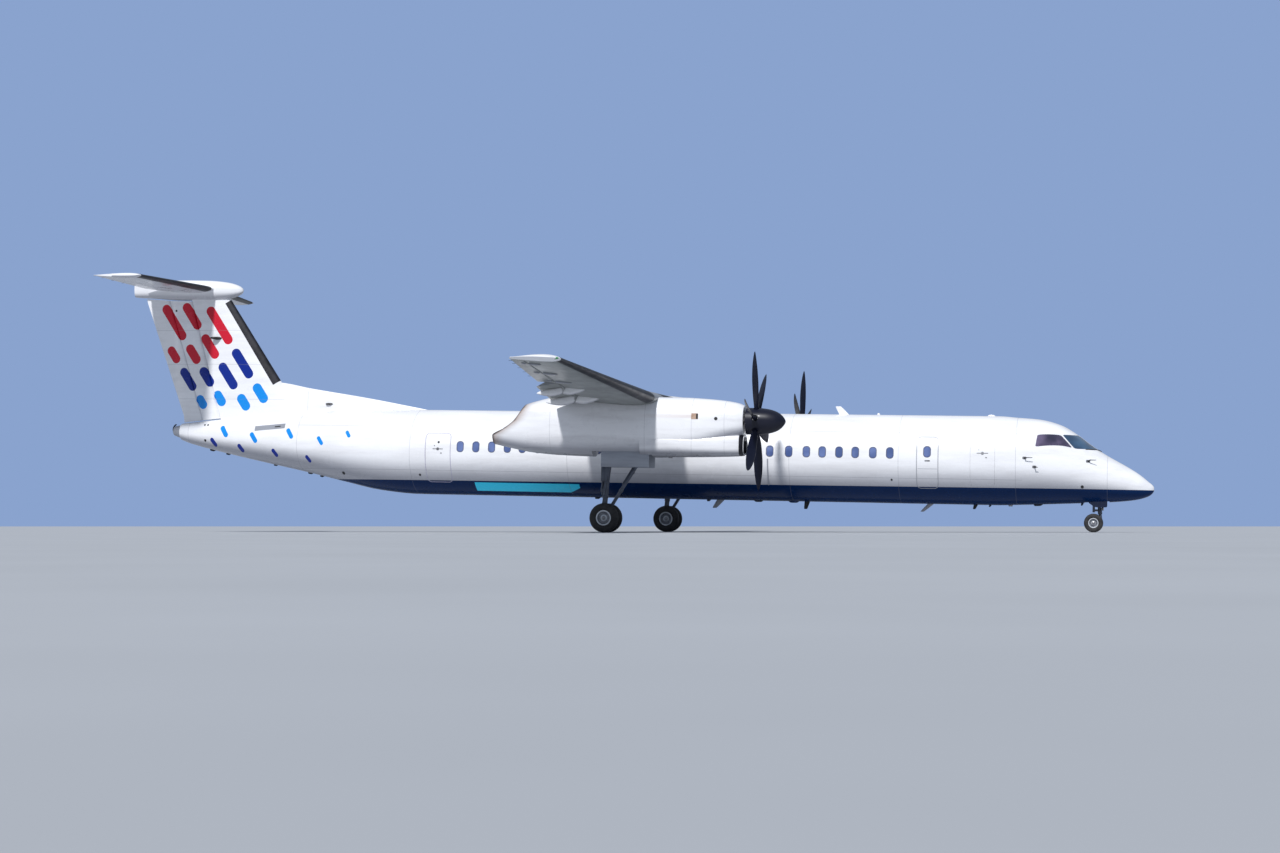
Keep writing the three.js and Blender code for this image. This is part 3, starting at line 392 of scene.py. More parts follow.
def setNormals(mesh, level, hull):
    # the corner normals of a skin that follows a hull, and the plain ones on its cut edges
    corners = np.zeros(len(mesh.loops), int)
    mesh.loops.foreach_get("vertex_index", corners)
    plain = np.zeros(len(mesh.loops) * 3)
    mesh.corner_normals.foreach_get("vector", plain)
    flat = np.zeros(len(mesh.polygons) * 3)
    mesh.polygon_normals.foreach_get("vector", flat)
    counts = np.zeros(len(mesh.polygons), int)
    mesh.polygons.foreach_get("loop_total", counts)
    face = np.repeat(flat.reshape(-1, 3), counts, axis=0)
    skin = hull.normals(level)[corners] @ np.array(standUp)[:3, :3].T
    follows = (skin * face).sum(1) > 0.95
    mesh.normals_split_custom_set(np.where(follows[:, None], skin, plain.reshape(-1, 3)).tolist())


def smoothShade(mesh, sharp):
    mesh.polygons.foreach_set("use_smooth", [True] * len(mesh.polygons))
    mesh.update()
    mesh.set_sharp_from_angle(angle=math.radians(sharp))


def finishPiece(mesh, name, body, slot, replaces=(), sharp=32, hull=None):
    # stands a mesh upright and hands it over as a piece of the body that it moves with
    level = np.array([v.co for v in mesh.vertices])
    mesh.transform(standUp)
    smoothShade(mesh, sharp)
    if hull is not None:
        setNormals(mesh, level, hull)
    mesh.name = name
    thing = linked(name, mesh)
    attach(thing, body)
    if replaces:
        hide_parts(*replaces)


def piece(name, shape, finish, replaces=(), body="airframe", slot=None, **options):
    mesh = meshOf(name, shape)
    mesh.materials.append(finishes[finish])
    finishPiece(mesh, name, body, slot or slots[finish], replaces, **options)


# Node trees, for finishes and for what repeats

class Tree:
    def __init__(self, group, family):
        self.group, self.family = group, family

    def node(self, kind, *values, out=0, named=None, **settings):
        made = self.group.nodes.new(self.family + kind)
        for key, value in settings.items():
            setattr(made, key, value)
        for key, value in [*enumerate(values), *(named or {}).items()]:
            if value is None:
                continue
            if isinstance(value, bpy.types.NodeSocket):
                self.group.links.new(value, made.inputs[key])
            else:
                made.inputs[key].default_value = value
        return made.outputs[out]

    def math(self, operation, *values):
        return self.node("Math", *values, operation=operation)

    def plus(self, a, b):
        return self.math("ADD", a, b)

    def minus(self, a, b):
        return self.math("SUBTRACT", a, b)

    def times(self, a, b):
        return self.math("MULTIPLY", a, b)

    def apart(self, vector):
        # the three numbers of a vector
        made = self.group.nodes.new("ShaderNodeSeparateXYZ")
        self.group.links.new(vector, made.inputs[0])
        return made.outputs


class Finish(Tree):
    # a surface finish whose patterns read places on the level drawing

    def __init__(self, name, **constants):
        self.material = bpy.data.materials.new(name)
        self.material.use_nodes = True
        super().__init__(self.material.node_tree, "ShaderNode")
        self.group.nodes.clear()
        self.shader = self.group.nodes.new("ShaderNodeBsdfPrincipled")
        output = self.group.nodes.new("ShaderNodeOutputMaterial")
        self.group.links.new(self.shader.outputs[0], output.inputs[0])
        for key, value in constants.items():
            self.shader.inputs[key.replace("_", " ")].default_value = value
        own = self.node("TexCoord", out=3)
        self.place = self.node("Mapping", own, tuple(layDown.translation), tuple(layDown.to_euler()))
        self.x, self.y, self.z = self.apart(self.place)

    def set(self, key, value):
        self.group.links.new(value, self.shader.inputs[key])

    def mix(self, share, a, b):
        made = self.group.nodes.new("ShaderNodeMix")
        made.data_type = "RGBA"
        for socket, value in [(made.inputs[0], share), (made.inputs[6], a), (made.inputs[7], b)]:
            if isinstance(value, bpy.types.NodeSocket):
                self.group.links.new(value, socket)
            else:
                socket.default_value = value
        return made.outputs[2]

    def noise(self, scale, detail, rough=0.5, stretch=None):
        place = self.place
        if stretch:
            place = self.node("VectorMath", place, stretch, operation="MULTIPLY")
        return self.node("TexNoise", place, None, scale, detail, rough, noise_dimensions="3D")

    def scaled(self, value, fromLow, fromHigh, low=0.0, high=1.0, smooth=False):
        kind = "SMOOTHSTEP" if smooth else "LINEAR"
        return self.node("MapRange", value, fromLow, fromHigh, low, high, interpolation_type=kind)

    def near(self, value, place, width):
        # 1 on a line, falling to 0 at its width
        off = self.math("ABSOLUTE", self.minus(value, place))
        return self.scaled(off, width * 0.35, width, 1.0, 0.0)

    def lines(self, value, places, width):
        found = self.near(value, places[0], width)
        for place in places[1:]:
            found = self.math("MAXIMUM", found, self.near(value, place, width))
        return found

    def between(self, value, low, high, soft=0.002):
        rise = self.scaled(value, low - soft, low + soft)
        return self.times(rise, self.scaled(value, high - soft, high + soft, 1.0, 0.0))

    def facing(self):
        # how far the surface turns up, from -1 to 1
        return self.apart(self.node("NewGeometry", out=1))[2]

    def bump(self, height, depth, strength):
        made = self.group.nodes.new("ShaderNodeBump")
        made.inputs["Strength"].default_value = strength
        made.inputs["Distance"].default_value = depth
        self.group.links.new(height, made.inputs["Height"])
        return made.outputs[0]


def colour(red, green, blue):
    # a colour on the screen, 0 to 255, as light
    parts = [v / 255 for v in (red, green, blue)]
    return (*[v / 12.92 if v <= 0.04045 else ((v + 0.055) / 1.055) ** 2.4 for v in parts], 1.0)


wheels = {
    "main": {"radius": 0.43, "width": 0.236, "rim": 0.226, "twin": 0.47, "axle": 0.038, "bolts": 12,
             "grooves": 4},
    "nose": {"radius": 0.28, "width": 0.166, "rim": 0.15, "twin": 0.34, "axle": 0.026, "bolts": 8,
             "grooves": 3},
}

paints = {
    "white": colour(243, 243, 246),
    "belly": colour(2, 38, 84),
    "stripe": colour(66, 220, 255),
    "red": colour(205, 30, 52),
    "royal": colour(12, 42, 138),
    "sky": colour(22, 140, 228),
    "wing": colour(142, 145, 150),
    # the wing's darker, greener underside: painted shade and a painted reflection of the ground
    "wingUnderShade": colour(118, 122, 120),
    "seam": colour(120, 122, 132),
    "soot": colour(60, 48, 42),
}


def glossed(paint, base, low=0.2, high=0.34):
    # the finished paint, whose shine is uneven where it is rubbed or dusty
    paint.set("Base Color", base)
    paint.set("Roughness", paint.scaled(paint.noise(2.2, 5.0, 0.6), 0.3, 0.75, low, high))
    return paint.material


def addGrime(paint, base, dirt, amount, stretch=(0.35, 1.6, 2.6)):
    # faint streaks that run along the ship
    streak = paint.noise(1.3, 6.0, 0.62, stretch)
    return paint.mix(paint.scaled(streak, 0.42, 0.8, 0.0, amount), base, dirt)


def addUnderShade(paint, base, most=0.6):
    # painted shade: a bluish grey that deepens where the surface turns down to the ground
    share = paint.scaled(paint.facing(), -0.7, -0.08, most, 0.0, True)
    return paint.mix(share, base, colour(98, 101, 118))


def addSeams(paint, base, seams):
    # panel joints as fine dark grooves
    height = paint.minus(1.0, seams)
    ripple = paint.scaled(paint.noise(0.9, 2.0), 0.0, 1.0, 0.0, 0.25)
    paint.set("Normal", paint.bump(paint.plus(height, ripple), 0.004, 0.5))
    return paint.mix(paint.times(seams, 0.45), base, paints["seam"])


# The tail's design: dashes with round ends that lean as the fin's front edge does. Rows are the middle's
# x and z, half the length between the ends' centres, half the width and the paint.
tailBars = {
    "lean": (-0.563, 0.826),
    "rows": [
        [-13.38, 4.02, 0.56, 0.155, "red"], [-12.54, 2.78, 0.4, 0.155, "royal"],
        [-11.89, 1.82, 0.2, 0.155, "sky"], [-14.36, 4.32, 0.34, 0.155, "red"],
        [-13.69, 3.33, 0.3, 0.155, "red"], [-13.03, 2.37, 0.34, 0.155, "royal"],
        [-12.46, 1.52, 0.14, 0.155, "sky"], [-15, 4.12, 0.52, 0.155, "red"],
        [-14.29, 3.08, 0.2, 0.155, "red"], [-13.79, 2.34, 0.2, 0.155, "royal"],
        [-13.31, 1.64, 0.12, 0.155, "sky"], [-15, 3.06, 0.16, 0.145, "red"],
        [-14.46, 2.26, 0.28, 0.145, "royal"], [-13.96, 1.52, 0.1, 0.145, "sky"],
        [-12.95, 0.55, 0.13, 0.08, "sky"], [-11.85, 0.36, 0.12, 0.075, "sky"],
        [-13.35, 0.2, 0.09, 0.07, "royal"], [-10.55, 0.5, 0.12, 0.07, "sky"],
        [-12.35, 0.02, 0.08, 0.07, "royal"], [-11.1, -0.12, 0.08, 0.065, "royal"],
        [-9.45, 0.28, 0.1, 0.06, "sky"], [-9.9, -0.3, 0.07, 0.06, "royal"],
        [-8.5, 0.5, 0.07, 0.055, "sky"],
    ],
}


def barGroup():
    # 1 inside one bar, from places along and across the bars' lean
    group = bpy.data.node_groups.new("tailBar", "ShaderNodeTree")
    for name in ["Along", "Across", "Middle", "Side", "Half Length", "Half Width"]:
        group.interface.new_socket(name, in_out="INPUT", socket_type="NodeSocketFloat")
    group.interface.new_socket("Inside", in_out="OUTPUT", socket_type="NodeSocketFloat")
    tree = Tree(group, "ShaderNode")
    given = group.nodes.new("NodeGroupInput").outputs
    away = tree.math("ABSOLUTE", tree.minus(given[0], given[2]))
    past = tree.math("MAXIMUM", tree.minus(away, given[4]), 0.0)
    aside = tree.minus(given[1], given[3])
    far = tree.math("SQRT", tree.plus(tree.times(past, past), tree.times(aside, aside)))
    inside = tree.math("LESS_THAN", far, given[5])
    result = group.nodes.new("NodeGroupOutput")
    group.links.new(inside, result.inputs[0])
    return group


barNodes = barGroup()


def addBars(paint, base):
    leanX, leanZ = tailBars["lean"]
    along = paint.plus(paint.times(paint.x, leanX), paint.times(paint.z, leanZ))
    across = paint.minus(paint.times(paint.x, leanZ), paint.times(paint.z, leanX))
    for x, z, long, wide, name in tailBars["rows"]:
        node = paint.group.nodes.new("ShaderNodeGroup")
        node.node_tree = barNodes
        paint.group.links.new(along, node.inputs[0])
        paint.group.links.new(across, node.inputs[1])
        numbers = [x * leanX + z * leanZ, x * leanZ - z * leanX, long, wide]
        for socket, value in zip(list(node.inputs)[2:], numbers):
            socket.default_value = value
        base = paint.mix(node.outputs[0], base, paints[name])
    return base


livery = {
    "bellyHeight": -0.885, "bellyRise": 0.0043, "bellyEnd": -9.4,
    "stripe": {"back": -4.36, "front": -0.98, "top": -0.95, "bottom": -1.207},
    "frames": [15.06, 12.4, 8.93, 5.63, -1.3, -6.4, -10.28, -14.3],
    "laps": [-0.6, 0.78],
    "seamWidth": 0.008,
}


def fuselagePaint():
    paint = Finish("fuselagePaint", Coat_Weight=0.06, Coat_Roughness=0.08)
    base = addGrime(paint, paints["white"], colour(206, 204, 206), 0.55)
    # painted shade on the skin where it faces down, under the tail's dashes
    base = addBars(paint, addUnderShade(paint, base))
    line = paint.math("MULTIPLY_ADD", paint.x, livery["bellyRise"], livery["bellyHeight"])
    ahead = paint.math("GREATER_THAN", paint.x, livery["bellyEnd"])
    under = paint.times(paint.math("LESS_THAN", paint.z, line), ahead)
    base = paint.mix(under, base, paints["belly"])
    paint.set("Specular IOR Level", paint.scaled(under, 0.0, 1.0, 0.3, 0.1))
    band = livery["stripe"]
    # the stripe's front end is cut at a slant in its lower part
    below = paint.math("MAXIMUM", paint.minus(paint.minus(band["top"], paint.z), 0.12), 0.0)
    front = paint.minus(band["front"], paint.times(below, 2.4))
    inBand = paint.times(paint.between(paint.z, band["bottom"], band["top"]),
                         paint.math("LESS_THAN", paint.x, front))
    inBand = paint.times(inBand, paint.math("GREATER_THAN", paint.x, band["back"]))
    base = paint.mix(inBand, base, paints["stripe"])
    seams = paint.lines(paint.x, livery["frames"], livery["seamWidth"])
    laps = paint.lines(paint.z, livery["laps"], livery["seamWidth"])
    laps = paint.times(laps, paint.between(paint.x, -10.3, 12.6))
    return glossed(paint, addSeams(paint, base, paint.math("MAXIMUM", seams, laps)))


def plainPaint(name, base, dirt, amount=0.5, low=0.22, high=0.38, coat=0.3, under=0.0, metal=0.0, shine=0.5):
    paint = Finish(name, Coat_Weight=coat, Coat_Roughness=0.1, Metallic=metal, Specular_IOR_Level=shine)
    mixed = addGrime(paint, base, dirt, amount)
    # painted shade where the surface faces down, as much as under gives
    if under:
        mixed = addUnderShade(paint, mixed, under)
    return glossed(paint, mixed, low, high)


def tailPaint():
    paint = Finish("tailPaint", Coat_Weight=0.15, Coat_Roughness=0.08, Specular_IOR_Level=0.35)
    base = addGrime(paint, paints["white"], colour(208, 206, 208), 0.5)
    # painted shade where the tail's skin faces down, under its dashes
    base = addBars(paint, addUnderShade(paint, base))
    return glossed(paint, addSeams(paint, base, paint.lines(paint.z, [1.62, 2.75, 3.86], 0.007)))


# The nacelle's rear edge, as rows of height and x, and the tail pipe in it
exhaust = {
    "edge": [[-0.4, -2.7], [0.4, -2.7], [0.62, -2.32], [0.85, -2.02], [1.25, -1.78], [1.7, -1.6]],
    "middle": 0.68, "tall": 0.37, "half": 0.27, "depth": 0.5, "soot": 0.42, "open": 0.16, "wall": 0.03,
}


def rearEdge(z):
    rows = np.array(exhaust["edge"])
    return smoothed(rows[:, 0], rows[:, 1], z)


def nacellePaint():
    paint = Finish("nacellePaint", Coat_Weight=0.3, Coat_Roughness=0.1)
    # painted shade where the cowl faces down, over its grime streaks
    base = addUnderShade(paint, addGrime(paint, paints["white"], colour(196, 194, 198), 0.6))
    # rust from the vent, drawn back along the side
    behindVent = paint.times(paint.scaled(paint.x, 1.6, 3.5), paint.math("LESS_THAN", paint.x, 3.5))
    run = paint.times(behindVent, paint.near(paint.z, 1.02, 0.075))
    base = paint.mix(paint.times(run, 0.32), base, colour(176, 132, 104))
    # grease under the belly
    low = paint.scaled(paint.z, -0.12, 0.1, 0.75, 0.0)
    patches = paint.scaled(paint.noise(1.6, 5.0, 0.6, (0.5, 3, 3)), 0.3, 0.7)
    base = paint.mix(paint.times(low, patches), base, colour(128, 126, 128))
    edge = exhaust["edge"][1][1]
    for (low, x0), (high, x1) in zip(exhaust["edge"][1:], exhaust["edge"][2:]):
        edge = paint.plus(paint.scaled(paint.z, low, high, 0.0, x1 - x0), edge)
    ahead = paint.minus(paint.x, edge)
    smoky = paint.math("POWER", paint.scaled(ahead, 0.0, exhaust["soot"], 1.0, 0.0), 1.7)
    blotch = paint.scaled(paint.noise(3.2, 5.0, 0.6, (0.6, 2, 2)), 0.25, 0.7, 0.55, 1.0)
    base = paint.mix(paint.times(smoky, blotch), base, colour(150, 122, 104))
    rim = paint.scaled(ahead, 0.012, 0.075, 1.0, 0.0)
    base = paint.mix(paint.times(rim, 0.9), base, paints["soot"])
    seams = paint.lines(paint.x, [4.29, 3.34, 1.95, -0.9], 0.007)
    flank = paint.times(paint.near(paint.z, 0.05, 0.009), paint.between(paint.x, -1.9, -0.25))
    return glossed(paint, addSeams(paint, base, paint.math("MAXIMUM", seams, flank)), 0.22, 0.4)


def wingPaint():
    paint = Finish("wingPaint", Coat_Weight=0.2, Coat_Roughness=0.15)
    # painted shade and a painted greenish reflection of the ground darken the underside; the streaks on it
    # are grime
    under = paint.scaled(paint.facing(), -0.25, 0.05, 1.0, 0.0)
    base = addGrime(paint, paints["wing"], colour(128, 130, 134), 0.6, (2.6, 0.5, 1.0))
    stainsAndShade = addGrime(paint, paints["wingUnderShade"], colour(88, 92, 88), 0.8, (2.2, 0.7, 1.0))
    base = paint.mix(under, base, stainsAndShade)
    ribs = [s * y for y in (5.02, 6.6, 7.9, 9.6, 11.4, 13.0) for s in (-1, 1)]
    base = addSeams(paint, base, paint.lines(paint.y, ribs, 0.009))
    tips = paint.math("GREATER_THAN", paint.math("ABSOLUTE", paint.y), 13.86)
    return glossed(paint, paint.mix(tips, base, paints["white"]), 0.28, 0.45)


def wheelPaint(name, wheel, x, z):
    # a light edge ring, a dark band in the well that is brake dust and painted shade of the well, and a
    # lighter hub
    paint = Finish(name, Metallic=0.3, Coat_Weight=0.2)
    offX = paint.minus(paint.x, x)
    offZ = paint.minus(paint.z, z)
    far = paint.math("SQRT", paint.plus(paint.times(offX, offX), paint.times(offZ, offZ)))
    edge = wheel["rim"]
    # the well's dark band: brake dust and painted shade
    dustAndShade = paint.between(far, edge * 0.44, edge * 0.82, edge * 0.04)
    dustShadeNoise = paint.scaled(paint.noise(9.0, 5.0, 0.6), 0.3, 0.8, 0.55, 1.0)
    base = addGrime(paint, colour(206, 210, 216), colour(140, 142, 148), 0.5)
    return glossed(paint, paint.mix(paint.times(dustAndShade, dustShadeNoise), base, colour(64, 68, 82)), 0.3, 0.5)


def worn(name, base, dark, wear, share, rough, bump, **constants):
    # a bare surface, with the noise of its wear, what that does to colour and roughness, and fine bumps
    finish = Finish(name, **constants)
    wear = finish.noise(*wear)
    finish.set("Base Color", finish.mix(finish.scaled(wear, *share), base, dark))
    finish.set("Roughness", finish.scaled(wear, *rough))
    scale, detail, depth, strength = bump
    finish.set("Normal", finish.bump(finish.noise(scale, detail), depth, strength))
    return finish.material


def rubber(name, base, low, high, depth=0.002):
    return worn(name, base, colour(88, 86, 86), (7.0, 6.0, 0.65), (0.4, 0.8, 0.0, 0.5), (0.3, 0.8, low, high),
                (60.0, 3.0, depth, 0.4))


def metal(name, base, dark, low=0.28, high=0.5, metallic=0.85, scale=9.0):
    return worn(name, base, dark, (scale, 6.0, 0.6), (0.35, 0.75), (0.3, 0.75, low, high),
                (scale * 6, 3.0, 0.0012, 0.35), Metallic=metallic)


def glass(name, inner, outer, rough=0.04):
    # a dark pane, lighter where the cabin shows behind it
    finish = Finish(name, Coat_Weight=0.8, Coat_Roughness=0.02, Specular_IOR_Level=0.8)
    shade = finish.scaled(finish.noise(1.7, 2.0, 0.4), 0.35, 0.7, smooth=True)
    finish.set("Base Color", finish.mix(shade, inner, outer))
    finish.set("Roughness", finish.scaled(finish.noise(4.0, 3.0), 0.2, 0.8, rough, rough + 0.06))
    return finish.material


finishes = {
    "fuselage": fuselagePaint(),
    "tail": tailPaint(),
    # the white parts carry painted shade where they face down
    "white": plainPaint("whitePaint", paints["white"], colour(204, 203, 207), under=0.5),
    "nacelle": nacellePaint(),
    "wing": wingPaint(),
    "doorLilac": plainPaint("doorLilac", colour(176, 172, 196), colour(134, 132, 150), low=0.3, high=0.45),
    "doorGrey": plainPaint("doorGrey", colour(150, 153, 162), colour(120, 122, 130), low=0.3, high=0.45),
    "navy": plainPaint("navyPaint", paints["belly"], colour(20, 30, 66), low=0.2, high=0.35),
    "gearDoor": plainPaint("gearDoorPaint", colour(158, 163, 174), colour(104, 108, 116), 0.7, low=0.3,
                           high=0.5),
    # painted shade: the gear's lighter grey is darkened and turned bluish as it looks in shade, with grime
    # streaks on top
    "gear": plainPaint("gearPaint", colour(80, 87, 102), colour(42, 46, 56), 0.9, 0.35, 0.55, 0.15,
                       metal=0.2),
    "mainRim": wheelPaint("mainRimPaint", wheels["main"], axles["main"].x, axles["main"].z),
    "noseRim": wheelPaint("noseRimPaint", wheels["nose"], axles["nose"].x, axles["nose"].z),
    "interior": plainPaint("cabinLining", colour(168, 164, 156), colour(120, 116, 110), 0.6, 0.5, 0.7, 0.0),
    "steel": metal("bareSteel", colour(168, 168, 172), colour(96, 94, 94)),
    "chrome": metal("slidingPiston", colour(214, 216, 220), colour(170, 172, 178), 0.1, 0.2, 1.0, 4.0),
    "engine": metal("engineMetal", colour(98, 96, 94), colour(52, 48, 46), 0.4, 0.6),
    "burnt": metal("burntMetal", colour(74, 62, 54), colour(26, 22, 20), 0.45, 0.7, 0.6, 5.0),
    "rust": metal("rustyVent", colour(186, 160, 142), colour(128, 96, 78), 0.5, 0.7, 0.3, 6.0),
    "dark": rubber("darkRecess", colour(20, 21, 25), 0.6, 0.8),
    "spinner": plainPaint("spinnerBlack", colour(16, 19, 36), colour(30, 32, 46), 0.6, 0.34, 0.46, 0.05,
                          shine=0.3),
    "blade": plainPaint("bladeBlack", colour(10, 15, 36), colour(24, 28, 46), 0.5, 0.4, 0.55, 0.03,
                        shine=0.22),
    "tyre": rubber("tyreRubber", colour(26, 26, 29), 0.6, 0.85, 0.004),
    # de-icing rubber with faint ribs
    "boot": worn("deiceBoot", colour(16, 17, 24), colour(50, 48, 58), (3.0, 6.0, 0.65), (0.35, 0.8, 0.0, 0.6),
                 (0.3, 0.8, 0.32, 0.55), (14.0, 2.0, 0.004, 0.3), Specular_IOR_Level=0.35),
    # the cabin panes' blue is a painted reflection of the sky
    "pane": glass("cabinPane", colour(74, 92, 142), colour(108, 126, 178), 0.06),
    "cockpit": glass("cockpitGlass", colour(34, 62, 92), colour(62, 98, 130)),
    "sideGlass": glass("sideGlass", colour(44, 38, 62), colour(122, 108, 138)),
    "seal": rubber("glassSeal", colour(76, 82, 108), 0.5, 0.7),
    "lamp": glass("lampLens", colour(225, 228, 232), colour(244, 246, 250), 0.05),
    "redLamp": glass("redLens", colour(150, 16, 20), colour(196, 40, 40), 0.05),
    "greenLamp": glass("greenLens", colour(10, 110, 50), colour(30, 160, 80), 0.05),
}
# the slot listed for each finish, where a piece names no other
slots = {
    "fuselage": "fuselage_paint", "tail": "tail_paint", "white": "white_paint", "nacelle": "nacelle_paint",
    "wing": "wing_paint", "gearDoor": "wing_paint", "doorLilac": "door_grey", "doorGrey": "door_grey",
    "interior": "door_grey", "seal": "door_grey", "blade": "propeller_black", "navy": "belly_paint",
    "gear": "gear_paint", "mainRim": "rim_grey", "noseRim": "rim_grey", "engine": "engine_metal",
    "spinner": "spinner_black",
    **dict.fromkeys(["steel", "chrome", "burnt", "rust", "dark"], "bare_metal"),
    **dict.fromkeys(["tyre", "boot"], "tyre_rubber"),
    **dict.fromkeys(["cockpit", "sideGlass", "lamp", "redLamp", "greenLamp", "pane"], "cockpit_glass"),
}
print("finishes made:", len(finishes))

# Fuselage

fuselage = {
    "rows": [
        [16.415, -0.735, -0.825, 0.04, -0.78],
        [16.365, -0.655, -0.915, 0.115, -0.782],
        [16.27, -0.577, -0.99, 0.2, -0.785],
        [15.9, -0.29, -1.108, 0.43, -0.73],
        [15.52, -0.065, -1.16, 0.605, -0.64],
        [15.02, 0.21, -1.2, 0.79, -0.52],
        [14.52, 0.546, -1.23, 0.94, -0.4],
        [14.27, 0.736, -1.24, 1.01, -0.34],
        [13.64, 1.105, -1.27, 1.16, -0.18],
        [13.01, 1.26, -1.3, 1.255, -0.08],
        [12.38, 1.305, -1.325, 1.315, -0.03],
        [11.8, 1.345, -1.345, 1.345, 0],
        [-6.4, 1.345, -1.345, 1.345, 0],
        [-7.75, 1.345, -1.237, 1.31, 0.03],
        [-8.9, 1.325, -1.000, 1.215, 0.09],
        [-10.2, 1.255, -0.716, 1.04, 0.19],
        [-11.8, 1.12, -0.398, 0.78, 0.31],
        [-13.3, 0.96, -0.086, 0.51, 0.43],
        [-14.3, 0.85, 0.154, 0.335, 0.5],
        [-14.62, 0.81, 0.265, 0.27, 0.535],
        [-14.9, 0.755, 0.365, 0.185, 0.56],
    ],
    "sides": 120, "rings": 150,
    "coneFrom": -14.3, "seat": 0.0003,
    "doorDepth": 0.08, "glassDepth": 0.028, "doorCorner": 0.11, "padX": 12.2,
}
doors = {
    "airstair_door": {"x": 10.3, "width": 0.76, "sill": -0.92, "head": 0.76, "side": 1, "gap": 0.014},
    "rear_passenger_door": {"x": -5.47, "width": 0.71, "sill": -0.92, "head": 0.76, "side": 1, "gap": 0.004},
    "rear_baggage_door": {"x": -7.6, "width": 1.27, "sill": -0.85, "head": 0.65, "side": 1, "gap": 0.004},
    "rear_service_door": {"x": -5.47, "width": 0.79, "sill": -0.94, "head": 0.55, "side": -1, "gap": 0.004},
    "emergency_exit": {"x": 9.8, "width": 0.61, "sill": -0.87, "head": 0.63, "side": -1, "gap": 0.004},
    "front_baggage_door": {"x": 11.43, "width": 0.72, "sill": -0.8, "head": 0.68, "side": -1, "gap": 0.004},
}
doorMarks = {
    "band": (0.02, "doorGrey"),
    "bands": {"emergency_exit": (0.016, "doorGrey"), "rear_service_door": (0.016, "doorLilac"),
              "front_baggage_door": (0, "doorGrey")},
    "handles": {"emergency_exit": -0.07, "rear_service_door": 0.07, "front_baggage_door": 0.18,
                "rear_baggage_door": 0.1},
    "turning": ["rear_service_door", "front_baggage_door", "rear_baggage_door"],
    "joint": (9.8, -0.31),
}
airstair = {"inset": 0.025, "depth": 0.037, "knuckle": 0.02, "reach": 0.03, "notch": 0.06, "room": 0.026,
            "below": 0.046, "behind": 0.026, "relief": 0.13, "treads": 7}
windows = {
    "places": [-4.74, -4.23, -3.72, -3.21, -2.73, -2.23, -1.78, -1.31, -0.80, -0.31, 0.18, 0.68, 1.38, 2.00,
               2.47, 2.94, 3.45, 3.97, 4.47, 5.04, 5.62, 6.16, 6.64, 7.15, 7.64, 8.17, 8.68],
    "height": 0.15, "size": (0.195, 0.31), "corner": 0.085, "recess": 0.014, "rim": 0.018,
}
doorWindows = {"emergency_exit": (9.79, 0.2), "airstair_door": (10.3, 0.24),
               "rear_passenger_door": (-5.47, 0.2)}
cockpit = {
    "side": [(12.97, 0.41), (14.03, 0.39), (13.69, 0.76), (13.02, 0.76)],
    "post": 0.05, "finishes": {"side_window": "sideGlass", "windscreen": "cockpit"},
    "outside": [(14.11, 0.37), (13.74, 0.78)],
    "gap": 0.006, "corner": (0.16, 0.16),
}
noseBay = {"back": 14.38, "front": 15.12, "half": 0.24, "low": -1.6, "high": -0.74}

skin = Hull(fuselage["rows"], roundNose=(16.42, -0.78))


def doorSlab(door, gap, below, low, high):
    # a door's outline grown by a gap, with more room under its sill if the door needs it
    size = (door["width"] + 2 * gap, door["head"] - door["sill"] + gap + below)
    at = (door["x"], (door["head"] + gap + door["sill"] - below) / 2)
    return sidePatch(skin, at, size, fuselage["doorCorner"] + gap, low, high, door["side"], 22, 12)


def windowHole(at, side):
    return sidePatch(skin, at, windows["size"], windows["corner"], -windows["recess"], 0.03, side, 5, 7)


def windowPane(at, side):
    size = [length - 0.004 for length in windows["size"]]
    return sidePatch(skin, at, size, windows["corner"] - 0.002, -windows["recess"] + 0.0005, -0.005, side)


def windowRim(at, side):
    outer, inner = (roundedOutline(at, windows["size"], windows["corner"], grow, 7, 0.04)
                    for grow in (windows["rim"], -0.001))
    return skinFrame(skin, outer, inner, -windows["recess"] * 0.3, 0.002, side)


def quadSlab(corners, low, high, side, grow):
    # a slab with four corners given as x and angle on the skin, in order round it
    points = np.array(corners, float)
    s, t = roundedGrid(cockpit["corner"], columns=10, rows=8)
    if grow:
        spans = np.abs(points[:2] - points[2:]).mean(0)
        middle = points.mean(0)
        points = middle + (points - middle) * (1 + 2 * grow / spans)
    weights = [(1 - s) * (1 - t) / 4, (1 + s) * (1 - t) / 4, (1 + s) * (1 + t) / 4, (1 - s) * (1 + t) / 4]
    x, angle = (sum(w * points[i, k] for i, w in enumerate(weights)) for k in (0, 1))
    return patch(skin, x, angle, low, high, side)


def onSkin(x, z):
    return (x, float(skin.angle(x, z)))


def screenSlab(low, high, side, grow):
    # the windscreen: level edges below and above, from a slanted post in to the one on the centre line
    s, t = roundedGrid(cockpit["corner"], columns=14, rows=8)
    (lowX, lowZ), (highX, highZ) = cockpit["outside"]
    rise = (t + 1) / 2
    z = lowZ - grow + (highZ - lowZ + 2 * grow) * rise
    ridge = np.linspace(13.4, 15.2, 120)
    middle = np.interp(z, skin.at(ridge)[0][::-1], ridge[::-1])
    outside = lowX + (highX - lowX) * rise - grow
    share = 1 - (1 - (s + 1) / 2) ** 2
    x = outside + (middle - outside) * share
    least = np.arcsin((cockpit["post"] - grow) / skin.at(x)[2])
    return patch(skin, x, np.maximum(skin.angle(x, z), least), low, high, side)


def cockpitPane(name, low, high, side, grow=0.0):
    if name == "windscreen":
        return screenSlab(low, high, side, grow)
    return quadSlab([onSkin(*corner) for corner in cockpit["side"]], low, high, side, grow)


def airstairHinge():
    door = doors["airstair_door"]
    z = door["sill"] + airstair["inset"]
    out = float(skin.place(door["x"], float(skin.angle(door["x"], z)))[1])
    return out - airstair["depth"], z


